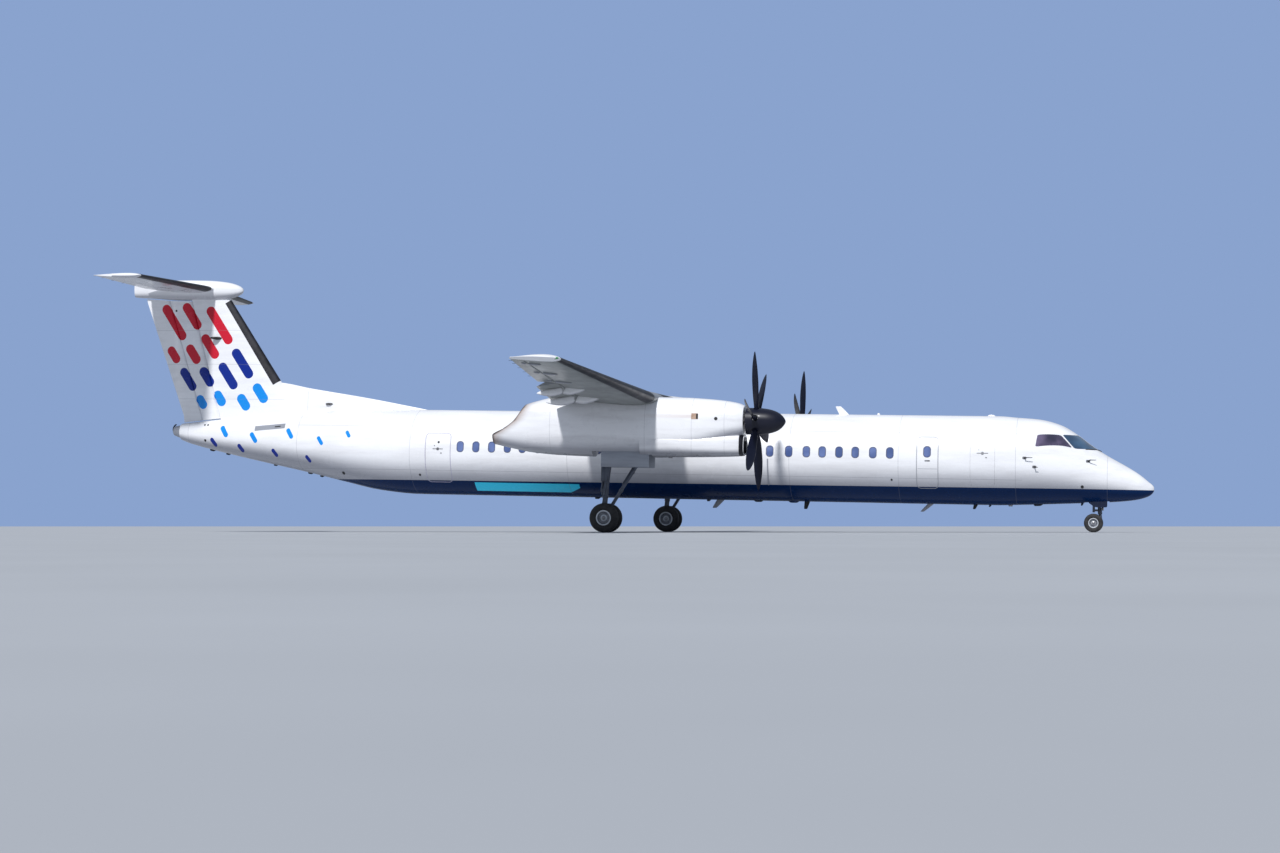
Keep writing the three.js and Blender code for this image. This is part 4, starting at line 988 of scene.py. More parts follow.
def addFuselage():
    cuts = []
    depth = fuselage["doorDepth"]
    hingeY, hingeZ = airstairHinge()
    for name, door in doors.items():
        opens = name == "airstair_door"
        behind = airstair["behind"] if opens else fuselage["seat"]
        below = airstair["below"] if opens else door["gap"]
        cuts.append(doorSlab(door, door["gap"], below, -depth - behind, 0.05))
    stair = doors["airstair_door"]
    half = stair["width"] / 2 + stair["gap"]
    low = stair["sill"] - airstair["below"]
    # room behind the airstair's hinge for its inner foot
    turn = np.linspace(math.pi / 2, 3 * math.pi / 2, 20)
    bow = [(hingeY + airstair["relief"] * math.cos(a), max(low, hingeZ + airstair["relief"] * math.sin(a)))
           for a in turn]
    cuts.append(loft([[(x, y, z) for y, z in bow] for x in (stair["x"] - half, stair["x"] + half)]))
    holes = []
    for side in (-1, 1):
        for x in windows["places"]:
            holes.append(windowHole((x, windows["height"]), side))
        for name in cockpit["finishes"]:
            holes.append(cockpitPane(name, -fuselage["glassDepth"] - fuselage["seat"], 0.03, side,
                                     cockpit["gap"]))
    cuts.append(joined(*holes))
    back, front, half, low, high = noseBay.values()
    cuts.append(block((back, -half, low), (front, half, high), 0))
    places = skin.spread(16.42, fuselage["coneFrom"] + fuselage["seat"], fuselage["rings"])
    shell = carve("fuselage", skin.loft(places, fuselage["sides"]), cuts)
    pad = rod((fuselage["padX"], 0, -1.2), (fuselage["padX"], 0, -1.372), 0.06)
    knuckles = []
    for end in (-1, 1):
        near = stair["x"] + end * (stair["width"] / 2 - airstair["notch"] + 0.0005)
        far = stair["x"] + end * (stair["width"] / 2 + stair["gap"] + airstair["reach"])
        knuckles.append(rod((near, hingeY, hingeZ), (far, hingeY, hingeZ), airstair["knuckle"]))
    piece("fuselage_skin", shell, "fuselage", ["fuselage"], hull=skin)
    piece("airstair_knuckles", joined(*knuckles), "steel")
    piece("nose_jack_pad", pad, "steel")
    lining = doorSlab(stair, 0.0, -0.12, -depth - airstair["behind"] - 0.002,
                      -depth - airstair["behind"] + 0.004)
    piece("airstair_doorway", lining, "interior")


def addDoors():
    depth = fuselage["doorDepth"]
    hingeY, hingeZ = airstairHinge()
    for name, door in doors.items():
        leaf = doorSlab(door, 0.0, 0.0, -depth, 0.0)
        cuts = []
        if name in doorWindows:
            cuts.append(windowHole(doorWindows[name], door["side"]))
        if name == "airstair_door":
            room = airstair["knuckle"] + airstair["room"]
            for end in (-1, 1):
                reaches = (door["width"] / 2 - airstair["notch"], door["width"] / 2 + 0.1)
                ends = sorted(door["x"] + end * reach for reach in reaches)
                cuts.append(block((ends[0], hingeY - room, hingeZ - room),
                                  (ends[1], hingeY + room, hingeZ + room), 0))
        if cuts:
            leaf = carve(name, leaf, cuts)
        body = "airstair_door" if name == "airstair_door" else "airframe"
        piece(f"{name}_leaf", leaf, "fuselage", [name], body=body, hull=skin)
        # a painted band round the opening, on the fuselage
        at = (door["x"], (door["sill"] + door["head"]) / 2)
        size = (door["width"], door["head"] - door["sill"])
        corner = fuselage["doorCorner"]
        extra = door["gap"] + (0.04 if name == "airstair_door" else 0.0)
        width, paint = doorMarks["bands"].get(name, doorMarks["band"])
        if width:
            inner, outer = (roundedOutline(at, size, corner, extra + 0.006 + more) for more in (0, width))
            band = skinFrame(skin, outer, inner, -0.002, 0.0012, door["side"])
            piece(f"{name}_outline", band, paint)
        # a flush handle in its well, or a turning one with a long slot
        side, x, z = door["side"], door["x"], doorMarks["handles"].get(name, -0.25)
        if name in doorMarks["turning"]:
            # rows of the place from the middle, size, corner and height of each part
            grip = joined(*[sidePatch(skin, (x + right, z + up), size, corner, -0.001, high, side, rows=3)
                            for right, up, size, corner, high in [
                                (0, 0, (0.34, 0.022), 0.01, 0.004), (0, 0, (0.09, 0.09), 0.044, 0.007),
                                (-0.11, 0.1, (0.03, 0.03), 0.014, 0.004),
                                (0.11, -0.13, (0.05, 0.03), 0.014, 0.004)]])
        else:
            grip = sidePatch(skin, (x, z), (0.16, 0.04), 0.018, -0.001, 0.004, side)
        piece(f"{name}_handle", grip, "steel", body=body)


def addCockpitGlass():
    for side, hand in hands.items():
        for name, glassFinish in cockpit["finishes"].items():
            pane = cockpitPane(name, -fuselage["glassDepth"], -0.003, side)
            piece(f"{name}_{hand}_glass", pane, glassFinish, [f"{name}_{hand}"], hull=skin)


addFuselage()
addDoors()
addCockpitGlass()
print("fuselage made")


# What repeats comes from node trees

def geoTree(name, inputs):
    group = bpy.data.node_groups.new(name, "GeometryNodeTree")
    group.interface.new_socket("Geometry", in_out="INPUT", socket_type="NodeSocketGeometry")
    for label, kind, value in inputs:
        socket = group.interface.new_socket(label, in_out="INPUT", socket_type="NodeSocket" + kind)
        if value is not None:
            socket.default_value = value
    group.interface.new_socket("Geometry", in_out="OUTPUT", socket_type="NodeSocketGeometry")
    tree = Tree(group, "GeometryNode")
    given = {socket.name: socket for socket in group.nodes.new("NodeGroupInput").outputs}
    return tree, given


def onPoints(tree, points, thing, turn=None):
    return tree.node("InstanceOnPoints", named={"Points": points, "Instance": thing, "Rotation": turn})


def closeTree(tree, geometry, finish):
    # every tree ends with real geometry that carries its finish
    real = tree.node("RealizeInstances", geometry)
    final = tree.node("SetMaterial", real, named={"Material": finish})
    output = tree.group.nodes.new("NodeGroupOutput")
    tree.group.links.new(final, output.inputs[0])
    return tree.group


def runTree(group, shape, values):
    mesh = bpy.data.meshes.new("seed")
    mesh.from_pydata(np.asarray(shape[0]).tolist(), [], shape[1])
    for label, data in shape[2].items() if len(shape) > 2 else ():
        mesh.attributes.new(label, "FLOAT", "POINT").data.foreach_set("value", data)
    holder = linked("seed", mesh)
    change = holder.modifiers.new("repeat", "NODES")
    change.node_group = group
    sockets = {s.name: s.identifier for s in group.interface.items_tree if s.in_out == "INPUT"}
    for label, value in values.items():
        change[sockets[label]] = value
    return evaluated(holder)


def templateObject(name, shape, sharp=32):
    # a shape that a tree repeats, taken out again once the tree has run
    mesh = meshOf(name, shape)
    smoothShade(mesh, sharp)
    return linked(name, mesh)


def copiesTree(name, finish):
    # copies of a template at each point, turned about the upright by the point's own turn
    tree, given = geoTree(name, [("Template", "Object", None)])
    turn = tree.node("InputNamedAttribute", named={"Name": "turn"})
    whole = Tree(tree.group, "ShaderNode").node("CombineXYZ", 0.0, 0.0, turn)
    template = tree.node("ObjectInfo", given["Template"], out=4)
    return closeTree(tree, onPoints(tree, given["Geometry"], template, whole), finish)


def ringTree(name, finish):
    # copies of a template turned evenly about the x axis
    tree, given = geoTree(name, [("Template", "Object", None), ("Count", "Int", 6), ("First", "Float", 0.0)])
    shader = Tree(tree.group, "ShaderNode")
    line = tree.node("MeshLine", named={"Count": given["Count"], "Offset": (0.0, 0.0, 0.0)})
    index = tree.node("InputIndex")
    step = shader.math("DIVIDE", 2 * math.pi, given["Count"])
    turn = shader.plus(shader.times(index, step), given["First"])
    template = tree.node("ObjectInfo", given["Template"], out=4)
    placed = onPoints(tree, line, template, shader.node("CombineXYZ", turn, 0.0, 0.0))
    return closeTree(tree, placed, finish)


def addWindows():
    # one template pane and rim, copied to each window's place by a node tree
    places = windows["places"]
    points = [(x, 0.0, 0.0) for x in places] * 2
    turns = [0.0] * len(places) + [math.pi] * len(places)
    at = (0.0, windows["height"])
    for name, shape, finish in [("cabin_panes", windowPane(at, 1), "pane"),
                                ("cabin_window_rims", windowRim(at, 1), "seal")]:
        template = templateObject(name + "_template", shape)
        group = copiesTree(name + "_copies", finishes[finish])
        made = runTree(group, (points, [], {"turn": turns}), {"Template": template})
        bpy.data.objects.remove(template)
        finishPiece(made, name, "airframe", slots[finish])
    for name, place in doorWindows.items():
        body = "airstair_door" if name == "airstair_door" else "airframe"
        side = doors[name]["side"]
        piece(f"{name}_pane", windowPane(place, side), "pane", body=body)
        piece(f"{name}_window_rim", windowRim(place, side), "seal", body=body)


def treadTree(name, finish):
    # a ribbed tread at each point, leaned about the x axis by the point's own lean
    tree, given = geoTree(name, [("Wide", "Float", 0.5), ("Deep", "Float", 0.06), ("Thick", "Float", 0.012)])
    shader = Tree(tree.group, "ShaderNode")
    lean = tree.node("InputNamedAttribute", named={"Name": "lean"})
    size = shader.node("CombineXYZ", given["Wide"], given["Deep"], given["Thick"])
    bar = tree.node("MeshCube", named={"Size": size})
    placed = onPoints(tree, given["Geometry"], bar, shader.node("CombineXYZ", lean, 0.0, 0.0))
    return closeTree(tree, placed, finish)


def addTreads():
    door, spots, leans = doors["airstair_door"], [], []
    for z in np.linspace(door["sill"] + 0.32, door["head"] - 0.12, airstair["treads"]):
        for rib in (-0.026, 0.0, 0.026):
            foot = Vector(skin.place(door["x"], float(skin.angle(door["x"], z + rib))))
            out = Vector(skin.normals(np.array([foot]))[0])
            spots.append(foot - out * (fuselage["doorDepth"] + 0.003))
            leans.append(math.atan2(-out.y, out.z))
    group = treadTree("airstairTreads", finishes["steel"])
    made = runTree(group, (spots, [], {"lean": leans}), {"Wide": 0.52, "Deep": 0.014, "Thick": 0.01})
    finishPiece(made, "airstair_treads", "airstair_door", slots["steel"])


addWindows()
addTreads()
print("windows and treads made")

# Wing

wing = {
    "rows": [[0, 2.29, 2.99, 1.53, 0.18], [4.9, 2.28, 2.98, 1.53, 0.17],
             [14.0, 1.714, 1.32, 2.048, 0.13], [14.21, 1.56, 1.09, 2.062, 0.1]],
    "camber": 0.02, "joint": 4.9, "seat": 0.0003, "tipStations": [14.0, 14.08, 14.14, 14.18, 14.2, 14.21],
    "flapFront": 0.72, "shroudEnd": 0.82, "shroudDepth": 0.016, "overlap": 0.02, "reach": 0.6,
    "moveGap": 0.014, "flapEndGap": 0.026, "flapRest": 15, "flapCrown": 0.86,
    "hingeBack": 0.04, "hingeDrop": 0.087,
    "flaps": {"inboard_flap": (1.4, 3.74, (1.56, 3.56)), "outboard_flap": (5.06, 8.95, (6.05, 8.05))},
    "aileron": (8.985, 13.7), "aileronFront": 0.74, "aileronHinges": (9.5, 11.3, 13.2),
    "bootEnd": 0.085, "bootProud": 0.0025, "bootSpan": (5.12, 13.84), "rootBootSpan": (1.2, 3.72),
}


def rowsAt(rows, place):
    rows = np.array(rows, float)
    return [float(np.interp(place, rows[:, 0], rows[:, k])) for k in range(1, rows.shape[1])]


def wingRow(y):
    lead, chord, z, ratio = rowsAt(wing["rows"], abs(y))
    return {"lead": lead, "chord": chord, "z": z, "ratio": ratio, "camber": wing["camber"], "y": y}


def halfAt(row, f, grow=0.0):
    shape = 0.2969 * np.sqrt(f) - 0.126 * f - 0.3516 * f**2 + 0.2843 * f**3 - 0.1036 * f**4
    return np.maximum(5 * row["ratio"] * row["chord"] * shape, 0.004) + grow


def middleAt(row, f):
    return 4 * row.get("camber", 0.0) * row["chord"] * f * (1 - f)


def foil(row, start=0.0, end=1.0, nose="flat", grow=0.0, steps=16):
    # distances behind the leading edge and above the chord line, from the back over the top to the front
    # and back underneath; the front is the leading edge, a flat face, a round nose or a flap's low nose
    chord = row["chord"]
    radius = float(halfAt(row, start, grow)) * (0.55 if nose == "low" else 1.0)
    first = start if nose == "flat" else start + radius / chord
    crown = wing["flapCrown"] if nose == "low" else first
    part = np.linspace(0, 1, steps + 1)
    share = 1 - np.cos(part * math.pi / 2) if start == 0 else part
    f, g = crown + (end - crown) * share, first + (end - first) * share
    past = np.where(part == 1, grow, 0.0)
    top = np.stack([f * chord + past, middleAt(row, f) + halfAt(row, f, grow)], -1)
    under = np.stack([g * chord + past, middleAt(row, g) - halfAt(row, g, grow)], -1)
    front = np.zeros((0, 2))
    if start == 0:
        top, under = top[1:], under[1:]
        front = np.array([[-grow, middleAt(row, 0)]])
    elif nose != "flat":
        middle = float(middleAt(row, first) - halfAt(row, first, grow)) + radius
        turn = np.radians(np.linspace(12, 168, 11))
        front = np.stack([first * chord - radius * np.sin(turn), middle + radius * np.cos(turn)], -1)
    return np.vstack([top[::-1], front, under])


def spanRing(row, **options):
    outline = foil(row, **options)
    return np.stack([row["lead"] - outline[:, 0], np.full(len(outline), row["y"]),
                     row["z"] + outline[:, 1]], -1)


def tipRow(y):
    # the last stretch of the span, drawn in to a rounded end
    row = wingRow(y)
    past = (abs(y) - 13.9) / (14.21 - 13.9)
    if past > 0:
        slim = math.sqrt(max(1 - past**2, 0.0))
        row["ratio"] *= 0.12 + 0.88 * slim
    return row


def spread(low, high, step):
    return np.linspace(low, high, max(2, int(math.ceil(abs(high - low) / step)) + 1))


def rearNotch(y0, y1, front, belowSkin=False):
    # the space behind a share of the chord, all of it or only what lies below the upper skin
    rings = []
    for y in (y0, y1):
        row = wingRow(y)
        last = wing["shroudEnd"] + wing["overlap"] if belowSkin else 1.2
        tops = [row["z"] + wing["reach"]] * 2
        if belowSkin:
            ends = np.array([front, last])
            tops = row["z"] + middleAt(row, ends) + halfAt(row, ends) - wing["shroudDepth"]
        x, back = (row["lead"] - f * row["chord"] for f in (front, last))
        low = row["z"] - wing["reach"]
        rings.append([(x, y, low), (x, y, tops[0]), (back, y, tops[1]), (back, y, low)])
    return loft(rings)


def flapHinge(y):
    row = wingRow(y)
    x = row["lead"] - (wing["flapFront"] + wing["hingeBack"]) * row["chord"]
    return Vector((x, y, row["z"] - wing["hingeDrop"] * row["chord"]))


def hingeFrame(point, along):
    # forward, up and along a hinge line
    axis = along.normalized()
    forward = (Vector((1, 0, 0)) - axis * axis.x).normalized()
    up = forward.cross(axis) * (-1 if axis.y < 0 else 1)
    turn = Matrix((forward, up, axis)).transposed().to_4x4()
    return Matrix.Translation(point) @ turn


# Flap track fairings in the hinge's frame, for a chord of one: rows of x, lower edge and upper edge
tracks = {
    "fixed": [[0.0168, -0.013, 0.0134], [0.05, -0.0185, 0.072], [0.1, -0.0225, 0.072], [0.16, -0.011, 0.072],
              [0.215, 0.0075, 0.072], [0.26, 0.032, 0.072], [0.302, 0.062, 0.072]],
    "arm": [[0.0095, 0.002, 0.06], [-0.01, -0.012, 0.067], [-0.06, -0.0165, 0.07], [-0.12, -0.012, 0.0745],
            [-0.18, 0.004, 0.078], [-0.23, 0.024, 0.079], [-0.265, 0.042, 0.077], [-0.29, 0.058, 0.069]],
    "half": 0.021,
}


def trackFairing(kind, y, along):
    size = wingRow(y)["chord"]
    rows = np.array(tracks[kind])
    ends = np.linspace(0, 1, 22)
    at = rows[0, 0] + (rows[-1, 0] - rows[0, 0]) * ends
    order = np.argsort(rows[:, 0])
    low, high = (smoothed(rows[order, 0], rows[order, k], at) for k in (1, 2))
    fade = np.sqrt(np.clip(1 - np.clip((ends - 0.55) / 0.45, 0, 1) ** 2, 0, 1))
    rings = []
    turn = circle(24)
    for x, bottom, top, thin in zip(at, low, high, fade):
        half = tracks["half"] * (0.25 + 0.75 * thin)
        c, s = np.cos(turn), np.sin(turn)
        z = (top + bottom) / 2 + np.sign(c) * np.abs(c) ** 0.8 * max(top - bottom, 0.002) / 2
        across = np.sign(s) * np.abs(s) ** 0.7 * half
        rings.append(np.stack([np.full(24, x), z, across], -1) * size)
    return moved(loft(rings), hingeFrame(flapHinge(y), along))


def hingePod(row, ends, sink):
    # a slim teardrop under the wing's skin, with its blunt end at the aileron's hinge
    start, end = (Vector((row["lead"] - f * row["chord"], row["y"],
                          row["z"] + float(middleAt(row, f) - halfAt(row, f)) - sink)) for f in ends)
    long, wide = (end - start).length, 0.034
    if ends[0] > wing["aileronFront"]:
        start, end = end, start
    profile = [(0, 0), (long * 0.12, wide * 0.5), (long * 0.4, wide * 0.9), (long * 0.7, wide),
               (long - 0.01, wide * 0.95), (long, wide * 0.7), (long, 0)]
    return turned(profile, start, end, 20)


def turnedAbout(shape, point, axis, angle):
    turn = Matrix.Translation(point) @ Matrix.Rotation(angle, 4, axis) @ Matrix.Translation(-point)
    return moved(shape, turn)


def wingBoot(side, low, high, step):
    return loft([spanRing(tipRow(side * y), end=wing["bootEnd"], grow=wing["bootProud"], steps=12)
                 for y in spread(low, high, step)])


def addWing():
    joint = wing["joint"] - wing["seat"] / 2
    centre = loft([spanRing(wingRow(y), steps=20) for y in spread(-joint, joint, 0.7)])
    # what is cut from a wing and the track fairings that are added to it
    centreParts = [], []
    for side, hand in hands.items():
        stations = [*spread(wing["joint"] + wing["seat"] / 2, 13.9, 0.45), *wing["tipStations"]]
        outer = loft([spanRing(tipRow(side * y), steps=20) for y in stations])
        outerParts = [], []
        for name, (near, far, brackets) in wing["flaps"].items():
            y0, y1 = side * near, side * far
            along = flapHinge(y1) - flapHinge(y0)
            cuts, fairings = centreParts if name == "inboard_flap" else outerParts
            cuts += [rearNotch(y0, y1, wing["flapFront"], True), rearNotch(y0, y1, wing["shroudEnd"])]
            fairings += [trackFairing("fixed", side * y, along) for y in brackets]
            rings = []
            for y in spread(y0 + side * wing["moveGap"], y1 - side * wing["flapEndGap"], 0.5):
                row = wingRow(y)
                start = wing["flapFront"] + wing["moveGap"] / row["chord"]
                rings.append(spanRing(row, start=start, nose="low", steps=10))
            turn = (flapHinge(y0), along.normalized(), math.radians(-side * wing["flapRest"]))
            body = f"{name}_{hand}"
            piece(f"{body}_skin", turnedAbout(loft(rings), *turn), "wing", [body], body=body)
            arms = joined(*[trackFairing("arm", side * y, along) for y in brackets])
            piece(f"{body}_tracks", turnedAbout(arms, *turn), "white", body=body)
        y0, y1 = (side * y for y in wing["aileron"])
        front = wing["aileronFront"] - wing["moveGap"] / wingRow(y1)["chord"]
        outerParts[0].append(rearNotch(y0, y1, front))
        rings = [spanRing(wingRow(y), start=wing["aileronFront"], nose="round", steps=10)
                 for y in spread(y0 + side * wing["moveGap"], y1 - side * wing["moveGap"], 0.5)]
        piece(f"aileron_{hand}_skin", loft(rings), "wing", [f"aileron_{hand}"], body=f"aileron_{hand}")
        for name, body, ends, sink in [("pods", "airframe", (0.5, 0.722), 0.012),
                                       ("arms", f"aileron_{hand}", (0.775, 0.87), 0.006)]:
            pods = [hingePod(wingRow(side * y), ends, sink) for y in wing["aileronHinges"]]
            piece(f"aileron_hinge_{name}_{hand}", joined(*pods), "doorGrey", body=body)
        shape = carve(f"outer_wing_{hand}", outer, outerParts[0])
        piece(f"outer_wing_{hand}_skin", shape, "wing", [f"outer_wing_{hand}"])
        piece(f"outer_wing_{hand}_tracks", joined(*outerParts[1]), "white")
        piece(f"wing_boot_{hand}", wingBoot(side, *wing["bootSpan"], 0.45), "boot", sharp=50)
    shape = carve("wing_center", centre, centreParts[0])
    piece("wing_center_skin", shape, "wing", ["wing_center"])
    piece("wing_center_tracks", joined(*centreParts[1]), "white")
    roots = [wingBoot(side, *wing["rootBootSpan"], 0.7) for side in (-1, 1)]
    piece("wing_root_boots", joined(*roots), "boot", sharp=50)


wingFairing = Hull([
    [3.95, 1.34, 1.0, 0.26, 1.15], [3.3, 1.53, 0.7, 0.64, 1.0], [2.5, 1.76, 0.5, 0.9, 0.9],
    [1.0, 1.89, 0.5, 0.96, 0.9], [-0.7, 1.79, 0.5, 0.9, 0.9], [-1.7, 1.58, 0.7, 0.7, 1.0],
    [-2.7, 1.35, 1.0, 0.28, 1.15],
], power=2.3)
addWing()
fairingPlaces = wingFairing.spread(3.95, -2.7, 50)
piece("wing_fairing_skin", wingFairing.loft(fairingPlaces, 80), "white", ["wing_fairing"], hull=wingFairing)
print("wing made")

# Nacelles

nacelle = {
    "rows": [
        [4.81, 1.362, 0.478, 0.44, 0.92], [4.72, 1.41, 0.43, 0.485, 0.91], [4.45, 1.476, 0.37, 0.54, 0.87],
        [4.1, 1.52, 0.26, 0.57, 0.82], [3.6, 1.56, 0.08, 0.605, 0.74], [3.08, 1.585, -0.06, 0.62, 0.68],
        [2.4, 1.59, -0.176, 0.62, 0.68], [0.54, 1.6, -0.176, 0.62, 0.69], [-0.65, 1.59, -0.15, 0.605, 0.7],
        [-1.5, 1.42, -0.085, 0.56, 0.69], [-2.3, 1.12, 0.06, 0.47, 0.62], [-2.7, 0.96, 0.148, 0.41, 0.56],
    ],
    "chin": [
        [4.83, 0.50, -0.06, 0.345, 0.17], [4.78, 0.54, -0.084, 0.374, 0.18], [4.6, 0.585, -0.108, 0.42, 0.2],
        [4.1, 0.56, -0.13, 0.505, 0.22], [3.4, 0.47, -0.148, 0.575, 0.25], [2.6, 0.42, -0.158, 0.612, 0.3],
        [1.8, 0.4, -0.165, 0.58, 0.3],
    ],
    "power": 2.5, "chinPower": 3.2, "sides": 72,
    "intake": [[4.86, 0.352, -0.03, 0.312, 0.161], [4.8, 0.34, -0.018, 0.3, 0.161],
               [4.6, 0.32, 0.0, 0.285, 0.161], [4.2, 0.31, 0.02, 0.26, 0.165]],
    "bay": {"back": 2.35, "front": 4.5, "radius": 0.43, "height": 0.85},
    "shaft": {"back": 4.4, "front": 5.0, "radius": 0.09, "height": 0.92},
    "well": {"back": 0.35, "front": 2.15, "half": 0.4253, "low": -0.7, "high": 0.78},
    "pad": {"x": 2.62, "heights": (-0.06, -0.186), "radius": 0.06},
    # low, high, back and half width of the space behind the rear edge
    "rearZone": (-0.4, 1.7, -3.6, 1.5),
    # the intake's rubber lip, as rows of the form that it follows, x and distance from it
    "lip": [("chin", 4.825, -0.004), ("chin", 4.79, 0.004), ("chin", 4.7, 0.0015), ("chin", 4.7, -0.01),
            ("mouth", 4.7, 0.006), ("mouth", 4.7, -0.002), ("mouth", 4.8, -0.003), ("mouth", 4.845, 0.006),
            ("chin", 4.825, -0.004)],
    # a vent, a port and two round marks on each flank, as place, size, corner, depth, height and rows
    "vent": [((3.43, 1.02), (0.2, 0.17), 0.015, -0.002, 0.006, 6)],
    "ports": [((3.5, 1.02), (0.055, 0.15), 0.01, -0.001, 0.009, 6),
              ((4.05, 0.96), (0.1, 0.1), 0.049, -0.002, 0.003, 3),
              ((3.02, 0.24), (0.05, 0.05), 0.024, -0.002, 0.003, 3)],
}


def addNacelle(side, hand):
    y = side * axles["mainY"]
    hull = Hull(nacelle["rows"], nacelle["power"], y)
    chin = Hull(nacelle["chin"], nacelle["chinPower"], y)
    mouth = Hull(nacelle["intake"], nacelle["chinPower"], y)
    low, high, back, half = nacelle["rearZone"]
    heights = np.linspace(low, high, 60)
    behind, rearZone = (plate([*zip(rearEdge(heights) + ahead, heights), (back, high), (back, low)],
                              y - half, y + half) for ahead in (0.0, exhaust["open"]))
    inside = hull.loft(hull.spread(4.0, -2.7, 60), nacelle["sides"], -exhaust["wall"])
    hollow = carve("hollow", inside, [rearZone], "INTERSECT")

    def pipeRings(depths, shrink=0.0):
        # rings round the tail pipe, at distances behind the nacelle's rear edge
        rings = []
        turn = circle(48, 0.5)
        for away in depths:
            z = exhaust["middle"] + (exhaust["tall"] - shrink) * np.cos(turn)
            rings.append(np.stack([rearEdge(z) - away, y + (exhaust["half"] - shrink) * np.sin(turn), z], -1))
        return rings

    pipe = loft(pipeRings([-exhaust["depth"], 0.2]))
    body = carve("nacelle", hull.loft(hull.spread(4.81, -2.7, 70), nacelle["sides"]),
                 [chin.loft(chin.spread(4.83, 1.8, 30), 56)], "UNION")
    bay, well, shaft = nacelle["bay"], nacelle["well"], nacelle["shaft"]
    wheelWell = block((well["back"], y - well["half"], well["low"]),
                      (well["front"], y + well["half"], well["high"]), 0)
    engineBay, shaftBore = (rod((room["back"], y, room["height"]), (room["front"], y, room["height"]),
                                room["radius"], sides, 0) for room, sides in ((bay, 48), (shaft, 24)))
    cuts = [behind, hollow, pipe, engineBay, mouth.loft(mouth.spread(4.86, 4.2, 10), 48), wheelWell,
            shaftBore]
    shape = carve(f"nacelle_{hand}", body, cuts)
    piece(f"nacelle_{hand}_skin", shape, "nacelle", [f"nacelle_{hand}"], sharp=15)
    # the tail pipe: a collar at its mouth, its lining and the dark end of it
    deep, opened = 0.004 - exhaust["depth"], 0.002 - exhaust["open"]
    section = [(deep, 0.001), (opened, 0.001), (opened, -0.014), (-0.02, -0.014), (-0.015, -0.006),
               (-0.02, 0.008), (deep, 0.008), (deep, 0.001)]
    lining = loft([pipeRings([place], shrink)[0] for place, shrink in section], ends=False)
    piece(f"exhaust_pipe_{hand}", lining, "burnt")
    throat = loft(pipeRings([-exhaust["depth"] + 0.001, -exhaust["depth"] + 0.012], 0.009))
    piece(f"exhaust_throat_{hand}", throat, "dark")
    # rubber lip of the intake, and its screen
    forms = {"chin": chin, "mouth": mouth}
    lipRings = [forms[form].place(x, circle(56, 0.5), grow) for form, x, grow in nacelle["lip"]]
    piece(f"intake_boot_{hand}", loft(lipRings, ends=False), "boot", sharp=45)
    screen = mouth.loft([4.21, 4.225], 48)
    piece(f"intake_screen_{hand}", screen, "dark", slot="engine_metal")
    jackPad = nacelle["pad"]
    pad = rod(*[(jackPad["x"], y, z) for z in jackPad["heights"]], jackPad["radius"])
    piece(f"main_jack_pad_{hand}", pad, "steel")
    # vents and drains on both flanks
    for flank in (-1, 1):
        tag = f"{hand}_{'outer' if flank == side else 'inner'}"
        for name, finish, slot in (("vent", "rust", None), ("ports", "dark", "engine_metal")):
            marks = [sidePatch(hull, *shape, flank, rows) for *shape, rows in nacelle[name]]
            piece(f"nacelle_{name}_{tag}", joined(*marks), finish, slot=slot)


engine = {"height": 0.85, "rows": [[2.42, 0], [2.42, 0.3], [2.6, 0.34], [2.9, 0.4], [3.5, 0.4], [3.55, 0.36],
                                   [3.9, 0.36], [3.95, 0.4], [4.3, 0.4], [4.46, 0.2], [4.46, 0]],
          "shaft": (4.4, 4.8645, 0.07)}


def addEngine(side, hand):
    # the engine's case and its shaft, closed inside the cowl
    y = side * axles["mainY"]
    first = engine["rows"][0][0]
    profile = [(x - first, r) for x, r in engine["rows"]]
    case = turned(profile, (first, y, engine["height"]), (5, y, engine["height"]), 48)
    back, front, radius = engine["shaft"]
    shaft = rod((back, y, propeller["height"]), (front, y, propeller["height"]), radius)
    piece(f"engine_{hand}_case", case, "engine", [f"engine_{hand}"])
    piece(f"engine_{hand}_shaft", shaft, "steel")


# Propellers

propeller = {
    "plane": 5.15, "height": 0.92, "hub": 0.165, "hubFront": 0.13, "count": 6,
    "blade": [[0.12, 0.146, 0.146, 60, 0], [0.26, 0.142, 0.142, 58, 0], [0.4, 0.15, 0.11, 56, 0],
              [0.54, 0.2, 0.074, 53, -0.008], [0.68, 0.24, 0.05, 51, -0.014], [0.96, 0.29, 0.038, 47, -0.02],
              [1.25, 0.318, 0.03, 44, -0.02], [1.55, 0.296, 0.022, 41, -0.002],
              [1.8, 0.222, 0.016, 38, 0.026], [1.95, 0.138, 0.011, 37, 0.056],
              [2.03, 0.07, 0.008, 36, 0.082], [2.055, 0.034, 0.005, 36, 0.094]],
    "first": {"left": -3, "right": 17.5},
    "spinner": [[-0.285, 0.388], [0.06, 0.386], [0.3, 0.364], [0.55, 0.3], [0.714, 0.204], [0.808, 0.1]],
    "tip": 0.85, "wall": 0.014, "hole": (0.3, 0.46, 0.092), "backplate": 0.024,
}


